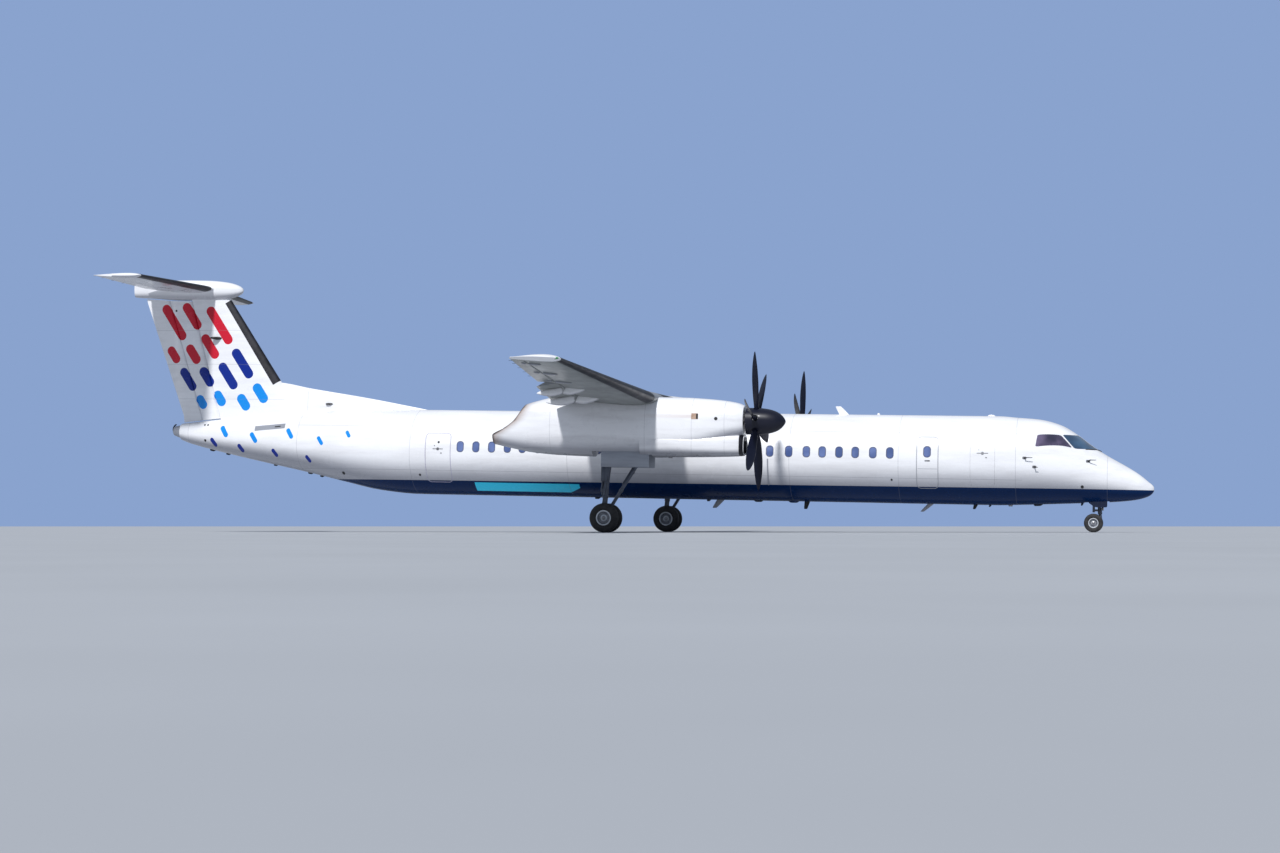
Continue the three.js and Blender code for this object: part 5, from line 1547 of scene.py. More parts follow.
def bladeShape():
    rows = np.array(propeller["blade"])
    radii = np.r_[np.linspace(0.12, 1.9, 34), 1.95, 1.99, 2.02, 2.04, 2.055]
    chord, thick, pitch, sweep = (smoothed(rows[:, 0], rows[:, k], radii) for k in (1, 2, 3, 4))
    turn = circle(28)
    rings = []
    for r, c, t, p, s in zip(radii, chord, thick, np.radians(pitch), sweep):
        flat = np.clip((r - 0.35) / 0.4, 0, 1)
        wide = np.cos(turn) * c / 2
        slim = np.sin(turn) * t / 2 * (1 + 0.35 * flat * np.cos(turn))
        rings.append(np.stack([wide * math.sin(p) + slim * math.cos(p),
                               -wide * math.cos(p) + slim * math.sin(p) + s, np.full(28, r)], -1))
    return loft(rings)


def addPropeller(side, hand):
    centre = Matrix.Translation((propeller["plane"], side * axles["mainY"], propeller["height"]))
    first = math.radians(propeller["first"][hand])
    body = f"propeller_{hand}"
    back, inner = propeller["spinner"][0][0], propeller["spinner"][0][1] - propeller["wall"] - 0.0003
    plateDepth, hubRadius, hubDepth = propeller["backplate"], propeller["hub"], propeller["hubFront"] - back
    hub = turned([(0, 0), (0, inner), (plateDepth, inner), (plateDepth, hubRadius), (hubDepth, hubRadius),
                  (hubDepth, 0)], (back, 0, 0), (propeller["hubFront"], 0, 0), 48)
    collar = rod((0, 0, 0.14), (0, 0, 0.3), 0.086, 28, 0.08)
    for name, shape, sharp, finish, replaced in [("blades", bladeShape(), 60, "blade", [body]),
                                                 ("collars", collar, 32, "steel", ())]:
        template = templateObject(name + "_template", shape, sharp)
        made = runTree(ringTree(f"{name}_{hand}", finishes[finish]), ([(0, 0, 0)], []),
                       {"Template": template, "Count": propeller["count"], "First": first})
        bpy.data.objects.remove(template)
        made.transform(centre)
        finishPiece(made, f"{body}_{name}", body, slots[finish], replaced, sharp)
    piece(f"{body}_hub", moved(hub, centre), "engine", body=body)
    rows = np.array(propeller["spinner"])
    line = np.r_[rows[:, 0], propeller["tip"]]
    size = np.r_[rows[:, 1], 0.0]
    reach = propeller["tip"] - line
    marks = np.sqrt(reach)[::-1]
    at = np.linspace(0, marks[-1], 40)
    radius = smoothed(marks, size[::-1], at)
    outside = [(propeller["tip"] - m * m, r) for m, r in zip(at[::-1], radius[::-1])]
    wall = propeller["wall"]
    inside = [(x - (wall / 2 if x > 0 else 0), r - wall) for x, r in outside if r > 2 * wall]
    section = [*outside, (inside[-1][0], 0), *inside[::-1], outside[0]]
    shell = turned([(x - back, r) for x, r in section], (back, 0, 0), (propeller["tip"], 0, 0), 72)
    low, high, wide = propeller["hole"]
    holes = []
    for i in range(propeller["count"]):
        turn = first + i / propeller["count"] * 2 * math.pi
        way = Vector((0, -math.sin(turn), math.cos(turn)))
        holes.append(rod(way * low, way * high, wide, 32, 0))
    shell = carve(f"spinner_{hand}", shell, [joined(*holes)])
    piece(f"spinner_{hand}_shell", moved(shell, centre), "spinner", [f"spinner_{hand}"], body=body, sharp=40)


for side, hand in hands.items():
    addNacelle(side, hand)
    addEngine(side, hand)
    addPropeller(side, hand)
print("nacelles and propellers made")

# Tail

fin = {
    "rows": [[0.7, -10.22, -14.465], [4.95, -13.115, -16.058]], "ratio": 0.1,
    "rudder": (1.08, 4.74), "gap": 0.014, "clear": 0.03,
    "foreHinge": ((-13.4, 1.0), (-14.5, 4.8)), "trailingHinge": ((-14.0, 1.0), (-15.25, 4.8)),
    "dorsal": [[-6.0, 1.3, 0.02], [-8.13, 1.68, 0.07], [-10.17, 1.99, 0.12], [-11.45, 2.19, 0.15],
               [-12.1, 2.19, 0.15]],
    "dorsalFoot": 0.9, "bootSpan": (2.24, 4.86), "bootEnd": 0.082, "bootDrop": 0.465,
}
bullet = Hull([
    [-12.65, 5.2, 5.14, 0.03, 5.17], [-12.8, 5.33, 5.01, 0.15, 5.17], [-13.2, 5.44, 4.9, 0.255, 5.175],
    [-13.9, 5.5, 4.84, 0.315, 5.18], [-14.9, 5.51, 4.85, 0.3, 5.19], [-15.7, 5.505, 4.905, 0.235, 5.21],
    [-16.3, 5.5, 4.935, 0.165, 5.22], [-16.415, 5.49, 4.95, 0.145, 5.22],
], power=2.4, roundNose=(-12.645, 5.17))
tailplane = {
    "rows": [[0, -13.52, 2.4, 5.2, 0.11], [4.635, -14.18, 1.52, 5.2, 0.1]], "span": 4.635,
    "hinge": -15.12, "from": 0.33, "to": 4.6, "tube": 0.034, "tubeHalf": 0.36, "boreHalf": 0.66, "gap": 0.014,
    "bootSpan": (0.42, 4.5), "bootEnd": 0.1,
}


def finRow(z):
    lead, tail = rowsAt(fin["rows"], z)
    return {"lead": lead, "chord": lead - tail, "ratio": fin["ratio"], "z": z}


def halfWidth(row, x):
    return float(halfAt(row, (row["lead"] - x) / row["chord"]))


def hingeX(hinge, z):
    (lowX, lowZ), (highX, highZ) = hinge
    return lowX + (highX - lowX) * (z - lowZ) / (highZ - lowZ)


def noseX(hinge, z):
    x = hingeX(hinge, z)
    return x + halfWidth(finRow(z), x)


def finRing(z, front, back, **options):
    row = finRow(z)
    share = lambda x: (row["lead"] - x) / row["chord"]
    outline = foil(row, start=0.0 if front is None else share(front),
                   end=1.0 if back is None else share(back),
                   nose="flat" if front is None else "round", **options)
    return np.stack([row["lead"] - outline[:, 0], outline[:, 1], np.full(len(outline), z)], -1)


def addFin():
    low, high = fin["rudder"]
    gap = fin["gap"]
    heights = spread(0.7, 4.95, 0.3)
    body = loft([finRing(z, None, noseX(fin["foreHinge"], z) + gap, steps=16) for z in heights])
    rows = np.array(fin["dorsal"])[::-1]
    rings = []
    for x in spread(-12.1, -6.0, 0.25):
        top, half = (float(smoothed(rows[:, 0], rows[:, k], x)) for k in (1, 2))
        turn = np.linspace(-math.pi / 2, math.pi / 2, 17)
        y = half * np.sin(turn)
        z = fin["dorsalFoot"] + (top - fin["dorsalFoot"]) * np.cos(turn) ** 0.8
        rings.append(np.stack([np.full(17, x), y, z], -1))
    piece("fin_skin", body, "tail", ["fin"])
    piece("dorsal_ridge", loft(rings), "fuselage")

    def rudderRings(front, back, steps):
        # level rings, and two more that follow the fuselage below and the bullet above
        ringAt = lambda z: finRing(z, noseX(front, z), noseX(back, z) + gap if back else None, steps=steps)
        foot, head = ringAt(low - 0.085), ringAt(high + 0.1)
        foot[:, 2] = skin.at(foot[:, 0])[0] + fin["clear"]
        head[:, 2] = bullet.at(head[:, 0])[1] - fin["clear"]
        return [foot, *[ringAt(z) for z in spread(low, high, 0.3)], head]

    fore = loft(rudderRings(fin["foreHinge"], fin["trailingHinge"], 8))
    piece("fore_rudder_skin", fore, "tail", ["fore_rudder"], body="fore_rudder")
    trailing = loft(rudderRings(fin["trailingHinge"], None, 10))
    piece("trailing_rudder_skin", trailing, "tail", ["trailing_rudder"], body="trailing_rudder")
    rings = []
    for z in spread(*fin["bootSpan"], 0.3):
        outline = foil(finRow(z), end=fin["bootEnd"], grow=0.0025, steps=12)
        ring = []
        for back, y in outline:
            # each ring drops as it runs back, square to the leading edge
            level = z - fin["bootDrop"] * max(back, 0.0)
            row = finRow(level)
            half = float(halfAt(row, max(back, 0.0) / row["chord"], 0.0025))
            ring.append((row["lead"] - back, half * float(np.sign(y)) if back > 0 else 0.0, level))
        rings.append(ring)
    piece("fin_boot", loft(rings), "boot", sharp=50)


def tailRow(y):
    lead, chord, z, ratio = rowsAt(tailplane["rows"], abs(y))
    row = {"lead": lead, "chord": chord, "z": z, "ratio": ratio, "y": y}
    past = (abs(y) - 4.5) / 0.135
    if past > 0:
        row["ratio"] *= 0.15 + 0.85 * math.sqrt(max(1 - past**2, 0.0))
    return row


def elevatorNose(y):
    row = tailRow(y)
    f = (row["lead"] - tailplane["hinge"]) / row["chord"]
    return f - float(halfAt(row, f)) / row["chord"]


def addTailplane():
    span, gap = tailplane["span"], tailplane["gap"]
    side = [*spread(0, 4.5, 0.5), 4.56, 4.6, 4.625, span]
    places = [-y for y in side[:0:-1]] + side
    body = loft([spanRing(tailRow(y), end=elevatorNose(y) - gap / tailRow(y)["chord"], steps=16)
                 for y in places])
    piece("tailplane_skin", body, "white", ["tailplane"])
    halves = []
    stations = [*spread(tailplane["from"], 4.5, 0.5), 4.56, tailplane["to"]]
    for way in (-1, 1):
        halves.append(loft([spanRing(tailRow(way * y), start=elevatorNose(y), nose="round", steps=10)
                            for y in stations]))
        rings = [spanRing(tailRow(way * y), end=tailplane["bootEnd"], grow=0.0025, steps=12)
                 for y in spread(*tailplane["bootSpan"], 0.5)]
        piece(f"tailplane_boot_{hands[way]}", loft(rings), "boot", sharp=50)
    hinge = Vector((tailplane["hinge"], 0, tailplane["rows"][0][3]))
    tube = crossBar(hinge, tailplane["tubeHalf"], tailplane["tube"])
    bore = crossBar(hinge, tailplane["boreHalf"], tailplane["tube"] + gap, edge=0)
    piece("elevator_skin", joined(*halves, tube), "white", ["elevator"], body="elevator")
    shape = carve("bullet", bullet.loft(bullet.spread(-12.645, -16.415, 70), 64), [bore])
    piece("bullet_skin", shape, "white", ["bullet_fairing"], hull=bullet)


# The tail cone's dark end and the hook on it
tailEnd = {"whiteEnd": -14.63, "end": -14.93, "slim": 0.045,
           "hook": [(-14.86, 0, 0.42), (-14.94, 0, 0.5), (-14.965, 0, 0.62), (-14.93, 0, 0.72),
                    (-14.86, 0, 0.78)]}


def addTailCone():
    places = spread(fuselage["coneFrom"], tailEnd["whiteEnd"], 0.03)
    rings = [skin.place(x, circle(64, 0.5)) for x in places]
    for step in (0.3, 0.6, 0.85, 1.0):
        shrink = -tailEnd["slim"] * (1 - math.sqrt(1 - step**2)) - 0.01 * step
        rings.append(skin.place(tailEnd["whiteEnd"] - 0.03 * step, circle(64, 0.5), shrink))
    piece("tail_cone_skin", loft(rings), "fuselage", ["tail_cone"])
    places = [*spread(tailEnd["whiteEnd"] + 0.02, -14.88, 0.04), -14.91, tailEnd["end"]]
    shrink = [-tailEnd["slim"]] * (len(places) - 2) + [-tailEnd["slim"] - 0.012, -tailEnd["slim"] - 0.045]
    rings = [skin.place(x, circle(48, 0.5), g) for x, g in zip(places, shrink)]
    piece("tail_end", loft(rings), "doorGrey")
    piece("tail_hook", hose(tailEnd["hook"], 0.022, 12), "dark")


addFin()
addTailplane()
addTailCone()
print("tail made")

# Landing gear

# A tyre's side as shares of its half width and height. A rim's section as shares of its half width, the
# radius that each row starts from and the share of the edge's radius that is added.
profiles = {
    "tyre": [(0.8, 0.01), (0.9, 0.12), (1, 0.36), (0.985, 0.55), (0.93, 0.72), (0.83, 0.86), (0.7, 0.95)],
    "rim": [(-0.66, "bore", 0), (-0.66, "hub", 0), (-0.35, "hub", 0.2), (0.05, "well", -0.06),
            (-0.2, "well", 0),
            (-1, "well", 0), (-1, "edge", -0.015), (-0.9, "edge", 0), (0.9, "edge", 0), (1, "edge", -0.015),
            (1.02, "edge", -0.07), (0.95, "well", 0.03), (0.55, "well", -0.02), (0.3, "well", -0.1),
            (0.32, "hub", 0.14), (0.6, "hub", 0), (0.66, "lip", 0), (0.66, "bore", 0), (-0.66, "bore", 0)],
}


def tyreProfile(wheel):
    # from the bead round the tread and back, with grooves round the tread
    half, tall = wheel["width"] / 2, wheel["radius"] - wheel["rim"]
    left = [(-a * half, wheel["rim"] + b * tall) for a, b in profiles["tyre"]]
    tread = []
    for share in np.linspace(-0.5, 0.5, wheel["grooves"]):
        at = half * share
        crown = wheel["radius"] - 0.012 * share**2
        wide, deep = 0.035 * half, 0.03 * tall
        tread += [(at - 1.6 * wide, crown), (at - wide, crown - deep), (at + wide, crown - deep),
                  (at + 1.6 * wide, crown)]
    right = [(-a, b) for a, b in left[::-1]]
    bead = [(way * 0.8 * half, wheel["rim"] + 0.0004) for way in (1, -1)]
    return [*left, *tread, *right, *bead, left[0]]


def rimProfile(wheel, outward):
    edge, half = wheel["rim"], 0.41 * wheel["width"]
    radii = {"edge": edge, "well": 0.8 * edge, "hub": 0.36 * edge, "lip": 0.36 * edge - 0.02,
             "bore": wheel["axle"] + 0.003}
    return [(outward * a * half, radii[start] + b * edge) for a, start, b in profiles["rim"]]


def boltTree(name, finish):
    # a circle of bolt heads facing along y
    tree, given = geoTree(name, [("Count", "Int", 12), ("Circle", "Float", 0.1), ("Head", "Float", 0.008),
                                 ("Tall", "Float", 0.008)])
    points = tree.node("MeshCircle", named={"Vertices": given["Count"], "Radius": given["Circle"]})
    head = tree.node("MeshCylinder", named={"Vertices": 6, "Radius": given["Head"], "Depth": given["Tall"]})
    lying = tree.node("Transform", onPoints(tree, points, head), named={"Rotation": (math.pi / 2, 0.0, 0.0)})
    return closeTree(tree, lying, finish)


bolts = boltTree("wheelBolts", finishes["steel"])


def addWheel(prefix, wheel, at, outward, body):
    kind = prefix.split("_")[0]
    label = prefix[len(kind) + 1:]
    centre = Vector(at)
    end = centre + across(1)
    tyre = turned(tyreProfile(wheel), centre, end, 64)
    piece(f"{kind}_tyre_{label}_rubber", tyre, "tyre", [f"{kind}_tyre_{label}"], body=body, sharp=40)
    rim = turned(rimProfile(wheel, outward), centre, end, 56)
    piece(f"{kind}_rim_{label}_wheel", rim, kind + "Rim", [f"{kind}_rim_{label}"], body=body, sharp=28)
    half = 0.41 * wheel["width"]
    bar = wheel["axle"]
    cap = turned([(0, 0), (0, bar + 0.022), (0.018, bar + 0.02), (0.03, bar - 0.004), (0.034, 0)],
                 centre + across(outward * (0.66 * half + 0.0005)), centre + across(outward), 32)
    piece(f"{kind}_hubcap_{label}", cap, "steel", body=body)
    edge = wheel["rim"]
    made = runTree(bolts, ([(0, 0, 0)], []),
                   {"Count": wheel["bolts"], "Circle": edge * 0.6, "Head": edge * 0.04, "Tall": 0.5 * half})
    made.transform(Matrix.Translation(centre + across(outward * 0.5 * half)))
    finishPiece(made, f"{kind}_bolts_{label}", body, slots["steel"])


gear = {
    "leg": {
        "top": (0.8, 0.25), "elbow": (0.67, -1.65), "radius": 0.078, "piston": 0.048, "trunnion": 0.046,
        "cone": 0.125,
        # rows of x, half width and z at both corners, and the rounding
        "lugs": [(0.67, 0.03, -1.61, 0.935, -1.545, 0.012), (0.54, 0.02, -1.2, 0.69, -1.08, 0.01),
                 (0.555, 0.07, -0.9, 0.69, -0.4, 0.02)],
        # rows of x and z at both ends, the shift across, radius and sides
        "pipes": [(0.6, -0.9, 0.585, -1.3, 0.03, 0.03, 20), (0.6, -0.9, 0.575, -1.12, -0.04, 0.02, 16),
                  (0.6, -0.4, 0.66, 0.1, 0.0, 0.035, 20)],
        "links": [(0.61, -1.58), (0.47, -1.78), (0.66, -1.94)],
    },
    # a brake pack's section, as rows of distance along the axle and radius
    "brake": [(0, 0.05), (0, 0.13), (0.012, 0.14), (0.03, 0.14), (0.032, 0.15), (0.05, 0.15), (0.052, 0.138),
              (0.066, 0.138), (0.066, 0.05), (0, 0.05)],
    "stay": {"top": (1.95, 0.12), "bottom": (0.905, -1.575), "radius": 0.05, "eye": 0.044, "eyeHalf": 0.042},
    "door": {"back": 0.63, "front": 2.07, "low": -0.48, "high": 0.02, "thick": 0.025,
             "ribs": (0.75, 1.1, 1.45, 1.8)},
    "noseLeg": {"top": (14.75, -0.74), "foot": (14.852, -1.56), "radius": 0.052, "collar": 0.044,
                "collarLength": 0.19},
    "noseBrace": {"top": (15.04, -0.9), "bottom": (14.822, -1.33), "radius": 0.026},
    "noseMotors": {"x": 14.66, "off": 0.07, "top": -1.28, "foot": -1.5, "radius": 0.035},
    "noseLamp": {
        "off": 0.085, "shell": [(0, 0), (0.0, 0.02), (0.03, 0.045), (0.07, 0.055), (0.075, 0.052),
                                (0.075, 0)],
        "lens": [(0, 0), (0, 0.047), (0.006, 0.04), (0.01, 0)],
    },
    "noseDoor": {"thick": 0.022, "outline": [
        (14.5, -1.12), (14.5, -1.185), (14.53, -1.235), (14.67, -1.333), (14.72, -1.345), (15.02, -1.345),
        (15.05, -1.315), (15.05, -1.12)]},
}


def axleBar(wheel, at):
    hub = 0.66 * 0.41 * wheel["width"]
    edge, end = wheel["twin"] / 2 - hub - 0.0005, wheel["twin"] / 2 + hub
    return joined(crossBar(at, end, wheel["axle"]), crossBar(at, edge, wheel["axle"] + 0.014))


def addMainGear(side, hand):
    y = side * axles["mainY"]
    leg, stay, wheel = gear["leg"], gear["stay"], wheels["main"]
    wall = nacelle["well"]["half"] - 0.0003
    at = lambda p: Vector((p[0], y, p[1]))
    axle = at((axles["main"].x, axles["main"].z))
    top, elbow = at(leg["top"]), at(leg["elbow"])
    down = (elbow - top).normalized()
    parts = [
        rod(top, elbow, leg["radius"], 32),
        crossBar(top, wall, leg["trunnion"]),
        rod(top + down * 0.15, top + down * 1.15, leg["cone"], 32, endRadius=leg["radius"] + 0.004),
        collar(top, down, 1.15, 1.2, leg["radius"] + 0.016, 32),
        collar(elbow, down, -0.34, -0.26, leg["radius"] + 0.014, 32),
        collar(elbow, down, -0.1, 0.02, leg["radius"] + 0.016, 32),
        axleBar(wheel, axle),
        *[block((x0, y - half, z0), (x1, y + half, z1), ease) for x0, half, z0, x1, z1, ease in leg["lugs"]],
        *[rod((x0, y + off, z0), (x1, y + off, z1), radius, sides)
          for x0, z0, x1, z1, off, radius, sides in leg["pipes"]],
    ]
    piece(f"main_leg_{hand}_body", joined(*parts), "gear", [f"main_leg_{hand}"])
    chrome = rod(elbow - down * 0.02, axle, leg["piston"], 28)
    piece(f"main_piston_{hand}", chrome, "chrome")
    # torque links behind the piston
    high, knee, low = (at(p) for p in leg["links"])
    links = []
    for start, end in ((high, knee), (knee, low)):
        for off in (-0.035, 0.035):
            links.append(rod(start + across(off), end + across(off * 0.5), 0.017, 12))
        links.append(crossBar(start, 0.06, 0.02, 16))
    links.append(crossBar(knee, 0.045, 0.024, 16))
    piece(f"torque_links_{hand}", joined(*links), "gear")
    # brake packs inside the wheels, each just clear of its rim
    packs = []
    for way in (-1, 1):
        start = axle + across(way * 0.085)
        packs.append(turned(gear["brake"], start, start + across(way), 40))
    piece(f"brakes_{hand}", joined(*packs), "burnt")
    high, low = at(stay["top"]), at(stay["bottom"])
    run = low - high
    brace = [
        rod(high, low, stay["radius"], 28),
        crossBar(high, wall, stay["radius"]),
        crossBar(low, stay["eyeHalf"], stay["eye"]),
    ]
    for share in (0.42, 0.74):
        brace.append(collar(high + run * share, run.normalized(), 0, 0.07, stay["radius"] + 0.014))
        brace.append(crossBar(high + run * share, 0.085, 0.022, 16))
    brace.append(collar(high + Vector((-0.07, 0, 0.02)), run, 0.34, 0.66, 0.02, 16))
    piece(f"main_stay_{hand}_body", joined(*brace), "gear", [f"main_stay_{hand}"])
    route = [(top, 0.02, 1, -0.3), (top, -0.02, 1, -0.8), (elbow, 0.02, 1, 0.35),
             (elbow, -0.07, 0.8, 0.02), (axle, -0.1, 0.7, 0.12), (axle, -0.04, 1, 0.05)]
    pipes = [hose([point + Vector((x, off * share, z)) for point, x, share, z in route], 0.008, 8, 30)
             for off in (0.075, -0.075)]
    piece(f"brake_hoses_{hand}", joined(*pipes), "dark", slot="tyre_rubber")
    door = gear["door"]
    back, front, low, high = (door[key] for key in ("back", "front", "low", "high"))

    def slab(start, end, back, front, low, high, ease):
        y0, y1 = sorted([start, end])
        return block((back, y0, low), (front, y1, high), ease)

    for name, out in (("outer", side), ("inner", -side)):
        face = y + out * wall
        inner = face - out * door["thick"]
        parts = [slab(face, inner, back, front, low, high, 0.009)]
        parts += [slab(inner, inner - out * 0.012, x, x + 0.03, low + 0.05, high - 0.04, 0.003)
                  for x in door["ribs"]]
        parts += [slab(face, face + out * 0.006, back + 0.02, front - 0.02, z, z + 0.02, 0.002)
                  for z in (low + 0.015, high - 0.09)]
        node = f"main_gear_door_{hand}_{name}"
        piece(f"{node}_leaf", joined(*parts), "gearDoor", [node])
    for way in (1, -1):
        label = "outer" if way == side else "inner"
        spot = axle + across(way * wheel["twin"] / 2)
        addWheel(f"main_{hand}_{label}", wheel, spot, way, f"main_wheels_{hand}")


def addNoseGear():
    leg, brace, wheel = gear["noseLeg"], gear["noseBrace"], wheels["nose"]
    wall = noseBay["half"] - 0.0003
    ends = leg["top"], leg["foot"], brace["top"], brace["bottom"]
    top, foot, high, low = (Vector((x, 0, z)) for x, z in ends)
    down = (foot - top).normalized()
    parts = [
        rod(top - Vector((0, 0, 0.03)), foot, leg["radius"], 32),
        block(top - Vector((0.11, 0.09, 0.06)), top + Vector((0.11, 0.09, -0.0003)), 0.01),
        crossBar(top - Vector((0, 0, 0.09)), wall, 0.04),
        rod(high, low, brace["radius"]),
        crossBar(high, wall, brace["radius"]),
        collar(foot, down, -0.3, -0.22, leg["radius"] + 0.014),
        collar(foot, down, -0.12, -0.004, leg["radius"] + 0.012),
        crossBar(foot - down * 0.24, 0.1, 0.022),
    ]
    piece("nose_leg_body", joined(*parts), "gear", ["nose_leg"])
    axle = Vector(axles["nose"])
    fork = [
        collar(foot, down, 0.0005, leg["collarLength"], leg["collar"], 28),
        rod(foot + down * 0.15, axle, 0.038),
        axleBar(wheel, axle),
        block((axle.x, -0.027, axle.z - 0.027), (14.79, 0.027, axle.z + 0.027), 0.008),
    ]
    piece("nose_fork_body", joined(*fork), "gear", ["nose_fork"], body="nose_fork")
    # steering motors behind the leg
    motor, lamp = gear["noseMotors"], gear["noseLamp"]
    motors = [rod((motor["x"], off, motor["top"]), (motor["x"], off, motor["foot"]), motor["radius"], 20)
              for off in (-motor["off"], motor["off"])]
    motors.append(block((14.64, -0.1, -1.47), (14.8, 0.1, -1.41), 0.012))
    piece("nose_steering_motors", joined(*motors), "gear")
    lampAt = foot - down * 0.17
    for side in (-1, 1):
        front = lampAt + Vector((0.11, side * lamp["off"], 0))
        ahead = lambda x: front + Vector((x, 0, 0))
        piece(f"nose_lamp_{hands[side]}", turned(lamp["shell"], ahead(-0.07), ahead(0.005), 28), "steel")
        piece(f"nose_lamp_lens_{hands[side]}", turned(lamp["lens"], ahead(0.0055), ahead(0.1), 28), "lamp")
    piece("nose_lamp_bar", crossBar(lampAt + Vector((0.05, 0, 0)), 0.1, 0.012, 16), "steel")
    door = gear["noseDoor"]
    for side, hand in hands.items():
        ends = sorted([side * wall, side * (wall - door["thick"])])
        leaf = plate(door["outline"], *ends)
        piece(f"nose_gear_door_{hand}_leaf", leaf, "navy", [f"nose_gear_door_{hand}"])
        spot = axle + across(side * wheel["twin"] / 2)
        addWheel(f"nose_{hand}", wheel, spot, side, "nose_wheels")


for side, hand in hands.items():
    addMainGear(side, hand)
addNoseGear()
print("landing gear made")

# Aerials, probes, lights and other small fittings on the skin


def bladeAerial(x, z, chord, tall, rake, up, thick):
    # a raked blade that stands on the skin, root first
    rings, turn = [], circle(20)
    for share, size in ((0.0, 1.0), (0.4, 0.86), (0.8, 0.68), (0.96, 0.55), (1.0, 0.42)):
        along = x + rake * share + np.cos(turn) * chord * size / 2
        wide = np.sin(turn) * thick * (0.35 + 0.65 * size)
        rings.append(np.stack([along, wide, np.full(20, z + up * tall * share)], -1))
    return loft(rings)


# Rows of x, height, chord, depth, rake, way up and finish
aerials = {
    "roof_aerial": (7.12, 1.335, 0.3, 0.26, -0.2, 1, "white"),
    "roof_bump_front": (8.17, 1.34, 0.1, 0.06, 0.0, 1, "white"),
    "roof_bump_middle": (11.6, 1.335, 0.26, 0.05, -0.02, 1, "white"),
    "belly_aerial_middle": (3.32, -1.335, 0.24, 0.26, -0.2, -1, "doorGrey"),
    "belly_bump_rear": (4.5, -1.34, 0.3, 0.045, 0.0, -1, "dark"),
    "belly_bump_front": (5.6, -1.34, 0.34, 0.05, 0.0, -1, "navy"),
    "belly_mast": (6.02, -1.335, 0.17, 0.24, -0.05, -1, "dark"),
    "belly_aerial_front": (9.81, -1.335, 0.19, 0.25, -0.27, -1, "doorGrey"),
    "belly_drain_mast": (11.16, -1.338, 0.13, 0.14, -0.05, -1, "dark"),
}
for name, (x, z, chord, tall, rake, up, finish) in aerials.items():
    thick = 0.012 if tall > 0.1 else 0.04
    piece(name, bladeAerial(x, z, chord, tall, rake, up, thick), finish, slot="white_paint")


def skinSpot(x, z, side):
    # a point on the skin and the way out of it
    foot = skin.place(x, side * float(skin.angle(x, z)))
    return Vector(foot), Vector(skin.normals(np.array([foot]))[0])


# Probes as rows of x, z and length, ports as rows of x, z and width, and the wipers' route in x and z
skinMarks = {
    "probes": [(12.66, 0.06, 0.2), (14.5, 0.0, 0.17), (12.95, -0.2, 0.07)],
    "ports": [(14.34, -0.76, 0.09), (8.73, -0.65, 0.06), (-8.73, -0.73, 0.1), (-6.1, -0.745, 0.07),
              (-5.45, 0.28, 0.07), (-13.66, 0.26, 0.08), (-13.6, 0.76, 0.06), (-13.72, 0.76, 0.06)],
    "wiper": [(14.87, 0.305), (14.78, 0.345), (14.62, 0.352), (14.42, 0.352)],
}


def addProbes():
    shapes, plates = [], []
    for side in (-1, 1):
        for x, z, long in skinMarks["probes"]:
            foot, out = skinSpot(x, z, side)
            arm = foot + out * 0.1 + Vector((0.03, 0, 0))
            shapes.append(rod(foot - out * 0.01, arm, 0.022, 14, endRadius=0.014))
            shapes.append(rod(arm - Vector((0.02, 0, 0)), arm + Vector((long, 0, 0)), 0.015, 14,
                              endRadius=0.008))
            plates.append(sidePatch(skin, (x, z), (0.12, 0.08), 0.03, -0.001, 0.003, side, rows=3))
    piece("pitot_probes", joined(*shapes), "dark")
    piece("probe_plates", joined(*plates), "steel")
    spots = [sidePatch(skin, (x, z), (wide, wide), wide / 2 - 0.001, -0.001, 0.004, side, rows=3)
             for side in (-1, 1) for x, z, wide in skinMarks["ports"]]
    piece("skin_ports", joined(*spots), "dark", slot="engine_metal")


# Slanted strips on the rear sides, as rows of x, z, length, height and how proud they stand
strips = {
    "slope": 0.088, "rear_side_strips": (-11.3, 0.7, 1.07, 0.15, 0.008),
    "rear_side_marks": (-11.02, 0.72, 0.2, 0.035, 0.012),
}


def slantedStrips(name):
    x, z, long, tall, proud = strips[name]
    s, t = roundedGrid((0.02, 0.1), columns=20, rows=4)
    along = s * long / 2
    angle = skin.angle(x + along, z + along * strips["slope"] + t * tall / 2)
    return joined(*[patch(skin, x + along, angle, -0.002, proud, side) for side in (-1, 1)])


def addStrips():
    piece("rear_side_strips", slantedStrips("rear_side_strips"), "doorGrey")
    piece("rear_side_marks", slantedStrips("rear_side_marks"), "dark", slot="engine_metal")
    size = (doors["emergency_exit"]["width"] - 0.03, 0.01)
    joint = sidePatch(skin, doorMarks["joint"], size, 0.003, -0.002, 0.0008, -1, rows=3, columns=8)
    piece("emergency_exit_joint", joint, "doorGrey")
    strakes = [sidePatch(skin, (4.98, -0.47), (0.035, 0.78), 0.012, -0.002, 0.03, side, rows=16, columns=4)
               for side in (-1, 1)]
    piece("side_strakes", joined(*strakes), "doorGrey")
    wipers = []
    for side in (-1, 1):
        route = [skin.place(x, side * max(0.07, float(skin.angle(x, z))), 0.014)
                 for x, z in skinMarks["wiper"]]
        wipers.append(hose(route, 0.011, 8, 20))
    piece("wipers", joined(*wipers), "dark", slot="tyre_rubber")


# Dark drains and bumps under the rear fuselage, as rows of x, length and depth
drains = [[-13.55, 0.22, 0.05], [-13.0, 0.18, 0.045], [-11.35, 0.16, 0.04], [-10.15, 0.2, 0.045],
          [-9.75, 0.16, 0.05], [13.03, 0.3, 0.045], [14.33, 0.08, 0.07], [11.6, 0.08, 0.055],
          [2.95, 0.14, 0.05], [-0.6, 0.2, 0.045]]


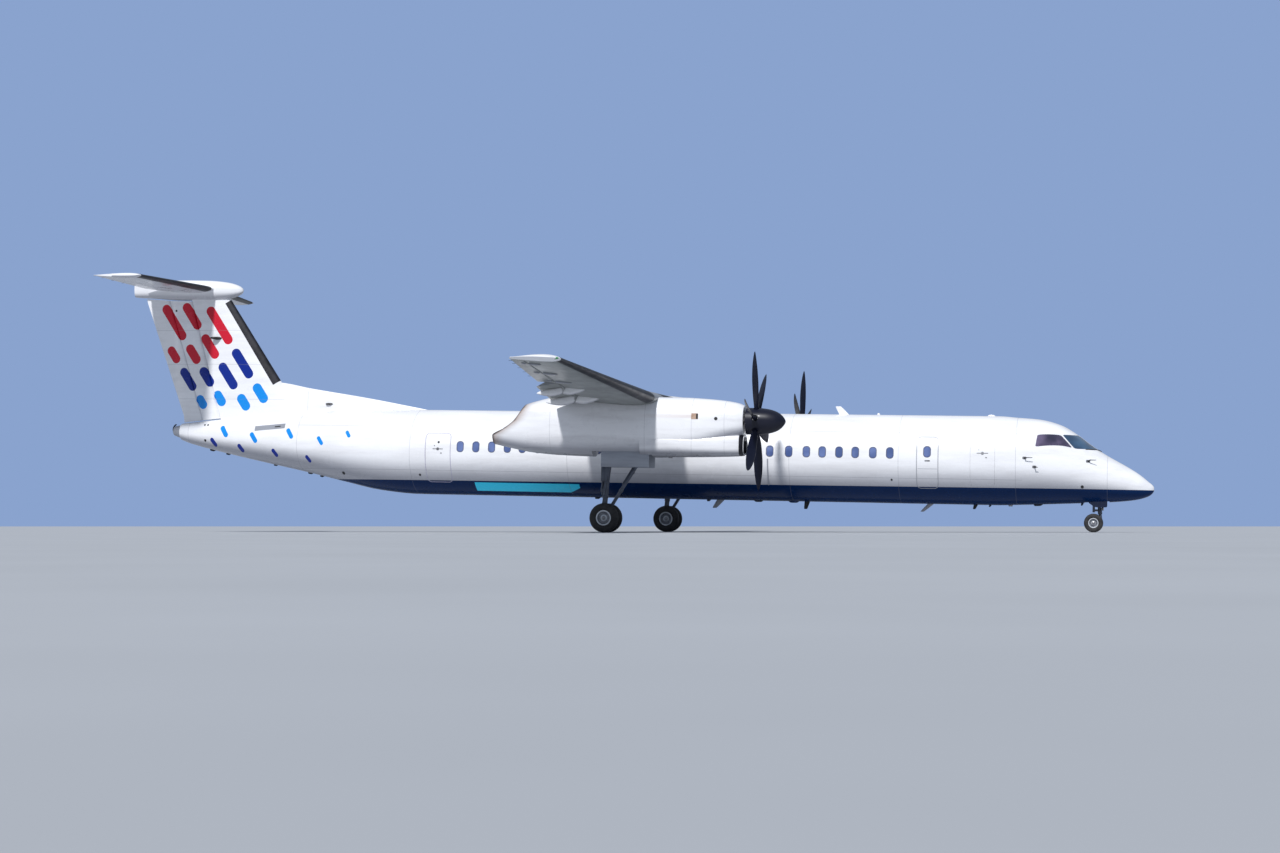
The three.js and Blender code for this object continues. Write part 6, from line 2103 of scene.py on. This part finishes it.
def addDrains():
    shapes = []
    for x, long, deep in drains:
        z = float(skin.at(x)[1])
        rise = (float(skin.at(x + 0.1)[1]) - float(skin.at(x - 0.1)[1])) / 0.2
        shape = bladeAerial(0, 0.01, long, deep + 0.01, -0.03, -1, 0.03)
        shapes.append(moved(shape, Matrix.Translation((x, 0, z)) @ Matrix.Rotation(-math.atan(rise), 4, "Y")))
    piece("belly_drains", joined(*shapes), "dark", slot="engine_metal")


# Horns on the fin and scoops on its ridge as chord, reach, rake, way and thickness, and marks on the rudder
finFittings = {
    "horn": {"x": -13.42, "z": 3.6, "sunk": 0.012, "shape": (0.3, 0.2, -0.12, 1, 0.05)},
    "mark": {"x": -14.93, "z": 4.5, "radius": 0.035},
    "scoop": {"x": -9.55, "y": 0.095, "z": 1.5, "shape": (0.24, 0.07, -0.04, 1, 0.03)},
}


def onSides(blade, y):
    # a blade laid over so that it stands out of both sides
    shapes = []
    for side in (-1, 1):
        place = Matrix.Translation((blade["x"], side * y, blade["z"]))
        lay = Matrix.Rotation(-side * math.pi / 2, 4, "X")
        shapes.append(moved(bladeAerial(0, 0, *blade["shape"]), place @ lay))
    return joined(*shapes)


def addFinFittings():
    horn, mark, scoop = (finFittings[name] for name in ("horn", "mark", "scoop"))
    wide = halfWidth(finRow(horn["z"]), horn["x"])
    piece("fin_horns", onSides(horn, wide - horn["sunk"]), "dark")
    x, z = mark["x"], mark["z"]
    wide = halfWidth(finRow(z), x)
    marks = [rod((x, side * (wide - 0.01), z), (x, side * (wide + 0.006), z), mark["radius"], 20)
             for side in (-1, 1)]
    piece("rudder_marks", joined(*marks), "dark", body="fore_rudder")
    piece("dorsal_scoops", onSides(scoop, scoop["y"]), "dark")


def wickTree(name, finish):
    # thin rods that stand back from the points they are given
    tree, given = geoTree(name, [("Long", "Float", 0.1), ("Thick", "Float", 0.004)])
    stick = tree.node("MeshCylinder", named={"Vertices": 6, "Radius": given["Thick"], "Depth": given["Long"]})
    lying = tree.node("Transform", stick, named={"Rotation": (0.0, math.pi / 2, 0.0)})
    return closeTree(tree, onPoints(tree, given["Geometry"], lying), finish)


def addWicks():
    group = wickTree("staticWicks", finishes["dark"])

    def wicks(name, rows, body):
        # a wick behind the rear edge of each row
        spots = [(row["lead"] - row["chord"] - 0.03, row["y"], row["z"]) for row in rows]
        made = runTree(group, (spots, []), {"Long": 0.12, "Thick": 0.004})
        finishPiece(made, name, body, slots["dark"])

    for side, hand in hands.items():
        rows = [wingRow(side * y) for y in (10.2, 11.1, 12.0, 12.9, 13.5)]
        wicks(f"aileron_wicks_{hand}", rows, f"aileron_{hand}")
    rows = [tailRow(side * y) for y in (2.2, 3.0, 3.8, 4.4) for side in (-1, 1)]
    wicks("elevator_wicks", rows, "elevator")


def addWingLights():
    profile = [(0, 0), (0.0, 0.035), (0.08, 0.032), (0.14, 0.02), (0.16, 0)]
    for side, lens in ((1, "redLamp"), (-1, "greenLamp")):
        row = tipRow(side * 14.05)
        ends = [(row["lead"] + x, side * 14.06, row["z"]) for x in (-0.12, 1)]
        piece(f"wing_tip_light_{hands[side]}", turned(profile, *ends, 24), lens)


addProbes()
addStrips()
addDrains()
addFinFittings()
addWicks()
addWingLights()
print("fittings made")

# Studio: floor, backdrop tone, lights and the camera at floor level

studio = {
    "distance": 72.0, "azimuth": 12.6, "height": 0.2, "aim": (0.65, 3.3), "fieldWidth": 40.0,
    "floorRadius": 600.0, "sunTurn": (44, 0, -4), "sunPower": 3.15, "sunAngle": 4,
    "skyLight": (0.68, 0.8, 1.0, 1.0), "skyPower": 0.38, "backdrop": colour(138, 163, 206),
}


def addStudio():
    floor = bpy.data.meshes.new("floor")
    radius = studio["floorRadius"]
    ring = [(radius * math.cos(a), radius * math.sin(a), 0.0) for a in circle(96)]
    floor.from_pydata(ring, [], [list(range(96))])
    ground = Finish("studioFloor", Roughness=0.75)
    patches = ground.scaled(ground.noise(0.4, 3.0), 0.3, 0.7)
    ground.set("Base Color", ground.mix(patches, colour(176, 179, 184), colour(181, 184, 189)))
    floor.materials.append(ground.material)
    thing = linked("floor", floor)

    world = bpy.data.worlds.new("studio")
    world.use_nodes = True
    tree = Tree(world.node_tree, "ShaderNode")
    world.node_tree.nodes.clear()
    seen = tree.node("LightPath", out=0)
    light = tree.node("Background", studio["skyLight"], studio["skyPower"])
    backdrop = tree.node("Background", studio["backdrop"], 1.0)
    both = tree.node("MixShader", seen, light, backdrop)
    output = world.node_tree.nodes.new("ShaderNodeOutputWorld")
    world.node_tree.links.new(both, output.inputs[0])
    bpy.context.scene.world = world

    sun = bpy.data.lights.new("key", "SUN")
    sun.energy, sun.angle = studio["sunPower"], math.radians(studio["sunAngle"])
    key = linked("key", sun)
    key.rotation_euler = [math.radians(a) for a in studio["sunTurn"]]

    camera = bpy.data.cameras.new("camera")
    camera.sensor_width = 36.0
    camera.lens = camera.sensor_width * studio["distance"] / studio["fieldWidth"]
    camera.clip_end = 2000
    eye = linked("camera", camera)
    turn = math.radians(studio["azimuth"])
    x, z = studio["aim"]
    eye.location = (x + math.sin(turn) * studio["distance"], -math.cos(turn) * studio["distance"],
                    studio["height"])
    eye.rotation_euler = (Vector((x, 0, z)) - eye.location).to_track_quat("-Z", "Y").to_euler()
    bpy.context.scene.camera = eye
    bpy.context.scene.view_settings.view_transform = "Standard"


addStudio()
print("studio set")
